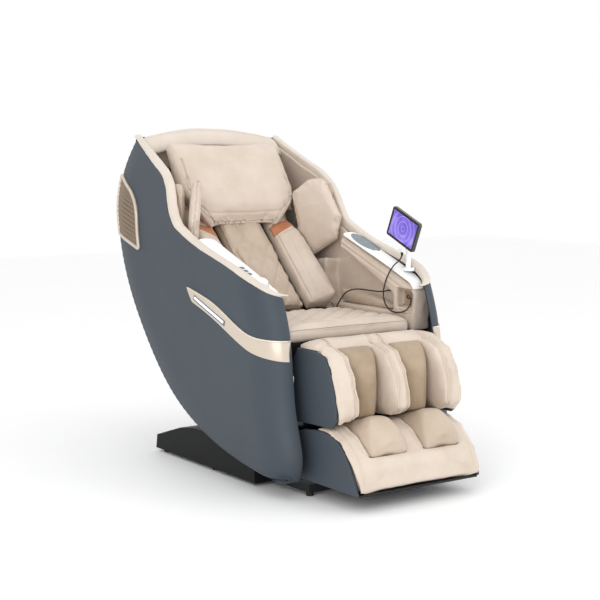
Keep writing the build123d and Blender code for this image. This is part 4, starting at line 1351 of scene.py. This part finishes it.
# Foot cushion with its wells, rolled well edges, instep pads and soles
creases(foot, 0.0013, 11.0, (1.0, 1.0, 1.0), 30)
FOOT_FRONT = [(-392, 214), (-430, 236), (-500, 238), (-562, 214), (-628, 150), (-658, 84)]
for across in (0.222, -0.222):
    seam(foot, profile_line(FOOT_FRONT, across), 0.0035, 0.0035)
dress(foot, CREAM, "foot_rest", "cream_leather", "foot_cushion")
WELL_EDGE = [(-404, 214), (-436, 238), (-502, 238), (-560, 212), (-600, 176), (-606, 160)]
piping("foot_well_edges", foot, [profile_line(WELL_EDGE, across, 80, 0.0)
                                 for across in (0.030, -0.030, 0.187, -0.187)], 0.007, -0.25)
for pad, amount, seed in ((instep, 0.006, 33), (sole, 0.002, 36)):
    x, y, z = coords(pad).T
    press(pad, amount * np.clip(1 - ((x - 0.108) / 0.065) ** 2, 0, 1) * fade(normals(pad)[:, 2], -0.2, 0.6))
    creases(pad, 0.0012, 15.0, (1, 1, 1), seed)
both(instep, "instep_pad_soft", CREAM_SHADED, "cream_leather", body="foot_rest")
both(sole, "sole_pad_soft", CREAM_SHADED, "cream_leather", body="foot_rest")

# Arms: seams along the block, folds under its front and a pocket whose inside faces carry painted shade
for line in ([(138, 776), (-158, 668), (-262, 626)], [(138, 757), (-100, 668), (-190, 632), (-264, 600)]):
    seam(arm, [(0.268, y * MM, z * MM) for y, z in spread(line, 90)], 0.004, 0.0035)
for line in ([(-268, 549), (-240, 546), (-196, 549)], [(-262, 540), (-236, 536), (-202, 540)]):
    seam(arm, [(0.268, y * MM, z * MM) for y, z in smooth(line, 40)], 0.0035, 0.003)
creases(arm, 0.0010, 15.0, (1, 1, 1), 39)
put(arm, within((268, 356), (-284, 352))(coords(arm)))
POCKET_X, POCKET_Y, POCKET_Z = 0.2735, (-0.262, -0.189), (0.559, 0.624)
arms = both(arm, "arm_upholstery", CREAM, "cream_leather")
for piece, name in zip(arms, SIDES):
    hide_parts(f"arm_body_{name}")
    # Faces inside the pocket take the darker leather, which paints the pocket's shade.
    piece.data.materials.append(POCKET_SHADE)
    for face in piece.data.polygons:
        x, y, z = face.center
        if abs(x) > POCKET_X and POCKET_Y[0] < y < POCKET_Y[1] and POCKET_Z[0] < z < POCKET_Z[1]:
            face.material_index = 1

# Linings of the hood's recess
x, y, z = coords(lining).T
press(lining, 0.004 * np.clip(1 - np.hypot(y - 0.46, z - 0.95) / 0.2, 0, 1))
creases(lining, 0.0012, 12.0, (1, 1, 1), 42)
put(lining, within((332, 345))(coords(lining)))
lean_in(lining)
both(lining, "head_lining_side", CREAM, "cream_leather", "head_recess_lining")
lean_in(board)
creases(board, 0.0015, 10.0, (1, 1, 1), 45)
dress(board, CREAM_SHADED, "recliner", "cream_leather", "head_recess_lining")

# Upholstery that closes the back beside each bolster
creases(back_edge, 0.001, 12.0, (1, 1, 1), 46)
both(back_edge, "back_edge_lining", CREAM_SHADED, "cream_leather")

# ------------------------------------------------------------------ hard pieces


def slab(name, outline, x0, x1, edge):
    """Flat panel with rounded edges: an outline in Y and Z (metres) between two X (mm)."""
    obj = make(name, *prism(np.array(outline) / MM, x0, x1))
    bevel(obj, edge, 3, 35)
    return bake(obj)


def shaded(obj):
    """Smooth shading with crisp corners."""
    obj.data.polygons.foreach_set("use_smooth", [True] * len(obj.data.polygons))
    modify(obj, "WEIGHTED_NORMAL", keep_sharp=True)
    return obj


# The foot unit's plate stops short of the cushion's edge, and its rods run up behind the calf unit
PLATE = [(-648, 51), (-358, 51), (-358, 73), (-384, 73), (-384, 58), (-648, 58)]
plate = slab("foot_plate", np.array(PLATE) * MM, -236, 236, 0.001)
dress(shaded(plate), STEEL_BLACK, "foot_rest", "black_steel", "foot_base_and_rods")
for name, sign in SIDES.items():
    rod_path = np.array([(sign * 0.110, -0.366, up) for up in np.linspace(0.056, 0.418, 8)])
    rod = make(f"foot_rod_{name}", *tube_mesh(rod_path, 0.008, 24))
    dress(rod, STEEL, "foot_rest", "steel")

# Side panels of the leg units: straight rear edges, then a curved top and front
PANEL_INNER, PANEL_OUTER = 238, 251
CALF_REAR = [(-308, 236), (-308, 440), (-330, 474), (-420, 474)]
CALF_SHOW = [(-420, 472), (-472, 457), (-503, 418), (-528, 348), (-538, 292), (-531, 264), (-508, 242)]
FOOT_REAR = [(-644, 54), (-322, 54), (-322, 205)]
FOOT_SHOW = [(-322, 205), (-361, 214), (-420, 224), (-479, 224), (-551, 200), (-608, 136), (-636, 82),
             (-644, 54)]
calf_curve, foot_curve = curve(CALF_SHOW, 50), curve(FOOT_SHOW, 60)[:-1]
for unit, body, straight, bent in (("calf", "leg_rest", CALF_REAR, calf_curve),
                                   ("foot", "foot_rest", FOOT_REAR, foot_curve)):
    side = slab(f"{unit}_panel", chain(np.array(straight) * MM, bent), PANEL_INNER, PANEL_OUTER, 0.004)
    both(shaded(side), f"{unit}_side_panel", SHELL, "shell_paint", f"{unit}_side_panels", body=body)

PANEL_TOP = [(141, 798.5), (0, 746.5), (-158, 688), (-226, 661), (-262, 643), (-277, 624)]
PANEL_LINE = curve(PANEL_TOP, 90)
PANEL_SECTION = [(-38, -8), (-38, -2.5), (-36, -0.6), (-33, 0.2), (-18, 1.0), (0, 1.3), (18, 1.0),
                 (33, 0.2), (36, -0.6), (38, -2.5), (38, -8)]
PANEL_HALF, PANEL_INSIDE, PANEL_TUCK, PANEL_CORNER = 38, 0.272, 0.0325, 0.020


def arm_panel():
    """Glossy top panel between the trim and the arm's inner edge, which narrows at the shell's front."""
    up = square_to(PANEL_LINE)
    rear = np.clip(1 - np.linspace(0, 1, len(PANEL_LINE)) / 0.05, 0, 1)
    corner = PANEL_CORNER * (1 - np.sqrt(1 - rear ** 2))
    outer = shell_x(PANEL_LINE[:, 0], PANEL_LINE[:, 1]) - PANEL_TUCK - corner
    inner = PANEL_INSIDE + corner
    middle, half = (outer + inner) / 2, np.maximum(outer - inner, 0.004) / 2
    rows = [np.column_stack([middle + offset / PANEL_HALF * half, PANEL_LINE + up * lift * MM])
            for offset, lift in PANEL_SECTION]
    faces = quads(len(rows), len(PANEL_LINE), wrap_rows=True) + strip_ends(len(rows), len(PANEL_LINE))
    return make("arm_panel", np.concatenate(rows), faces)


panels = both(refine(arm_panel()), "arm_top_panel", GLOSS, "white_gloss")
for piece, name in zip(panels, SIDES):
    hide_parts(f"arm_panel_{name}")

dial_centre = np.array(centre_of("control_dial"))
DIAL_UP = np.array([0, -0.3742, 0.9274])
DIAL_SIDE = np.array([1.0, 0, 0])
KNURLS = 36


def knob():
    """Knurled dial on its own axis, with a dished top."""
    section = [(22.5, -5.5), (22.8, -4.5), (22.0, 14.0), (20.6, 16.6), (18, 18.0), (15, 17.8), (8, 17.0),
               (0.5, 16.8)]
    verts, count = [], 4 * KNURLS
    for radius, height in section:
        for k in range(count):
            angle = 2 * math.pi * k / count
            grip = 0.4 * math.cos(angle * KNURLS) if -5 < height < 15 else 0
            ring = math.cos(angle) * DIAL_SIDE + math.sin(angle) * np.cross(DIAL_UP, DIAL_SIDE)
            verts.append(dial_centre + (radius + grip) * MM * ring + DIAL_UP * height * MM)
    faces = quads(len(section), count, wrap_cols=True) + ring_ends(len(verts), count)
    return make("dial_knob", verts, faces)


dress(shaded(knob()), GLOSS, "dial", "white_gloss", "control_dial")
COLLAR = [(29, -6.5), (29.5, -3.0), (28.5, -1.6), (26.4, -1.6), (26.0, -3.0), (26.0, -6.5)]
collar_verts = []
for radius, height in COLLAR:
    collar_verts += circle(dial_centre + DIAL_UP * height * MM, DIAL_SIDE, np.cross(DIAL_UP, DIAL_SIDE),
                           radius * MM, 96)
dial_collar = make("dial_collar", collar_verts, quads(len(COLLAR), 96, wrap_rows=True, wrap_cols=True))
dress(shaded(dial_collar), CHAMPAGNE, "recliner", "champagne")

SLOT_LOOKS = {"shell_paint": SHELL, "cream_leather": CREAM, "tan_leather": TAN, "trim_cream": TRIM,
              "white_gloss": GLOSS, "champagne": CHAMPAGNE, "led_white": LED, "bronze": BRONZE,
              "black_plastic": BLACK, "black_steel": STEEL_BLACK, "steel": STEEL, "rubber": RUBBER,
              "cord": CORD, "bezel": BEZEL, "screen": SCREEN, "touch": TOUCH, "grey_plastic": GREY,
              "roller": ROLLER}
NODE_LOOKS = {"tablet_stand": GLOSS, "tablet_bracket": GLOSS,
              "arm_button_1": SLATE, "arm_button_2": SLATE, "arm_button_3": SLATE}


def back_shell():
    """Rear cover between the shells, which follows their rear edge down from the hood."""
    spine = rear_line[(rear_line[:, 1] < 1.040) & (rear_line[:, 0] > 0.300)]
    rows = []
    for share in np.linspace(-1, 1, 33):
        crown = 4 * MM - 3 * MM * (1 - share ** 2)
        rows.append(np.column_stack([np.full(len(spine), share * 0.2855), spine + square_to(spine) * crown]))
    return make("back_shell", np.concatenate(rows), quads(len(rows), len(spine)))


rear_shell = back_shell()
face_out(rear_shell, 1)
modify(rear_shell, "SOLIDIFY", thickness=0.005, offset=-1.0)
bake(rear_shell)
dress(lean_in(rear_shell), SHELL, "recliner", "shell_paint", "back_cover")
BEVELS = {"base_cover": 0.003, "tablet": 0.0015, "tablet_stand": 0.0015,
          "tablet_bracket": 0.001, "arm_button_1": 0.0012, "arm_button_2": 0.0012, "arm_button_3": 0.0012,
          "base_frame": 0.0015, "mains_inlet": 0.001, "levelling_feet": 0.001, "touch_panel": 0.0008,
          "power_switch": 0.0006, "seat_pan": 0.001, "leg_frame": 0.001}
for name, node in NODES.items():
    for place in node.material_slots:
        slot = place.material.name.split(".")[0] if place.material else ""
        place.material = NODE_LOOKS.get(name) or SLOT_LOOKS.get(slot, GREY)
    if name in BEVELS and not node.hide_render:
        bevel(node, BEVELS[name], 2, 35)

# ------------------------------------------------------------------ floor

floor = make("floor", [(-9, -9, 0), (9, -9, 0), (9, 9, 0), (-9, 9, 0)], [(0, 1, 2, 3)])
floor_look = Shader("studio_floor", roughness=0.6)
floor_look.colour(floor_look.mix(floor_look.noise(3.0), srgb(250, 250, 250), srgb(253, 253, 253)))
floor.data.materials.append(floor_look.material)
floor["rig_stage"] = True

# ------------------------------------------------------------------ overall size

low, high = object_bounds()
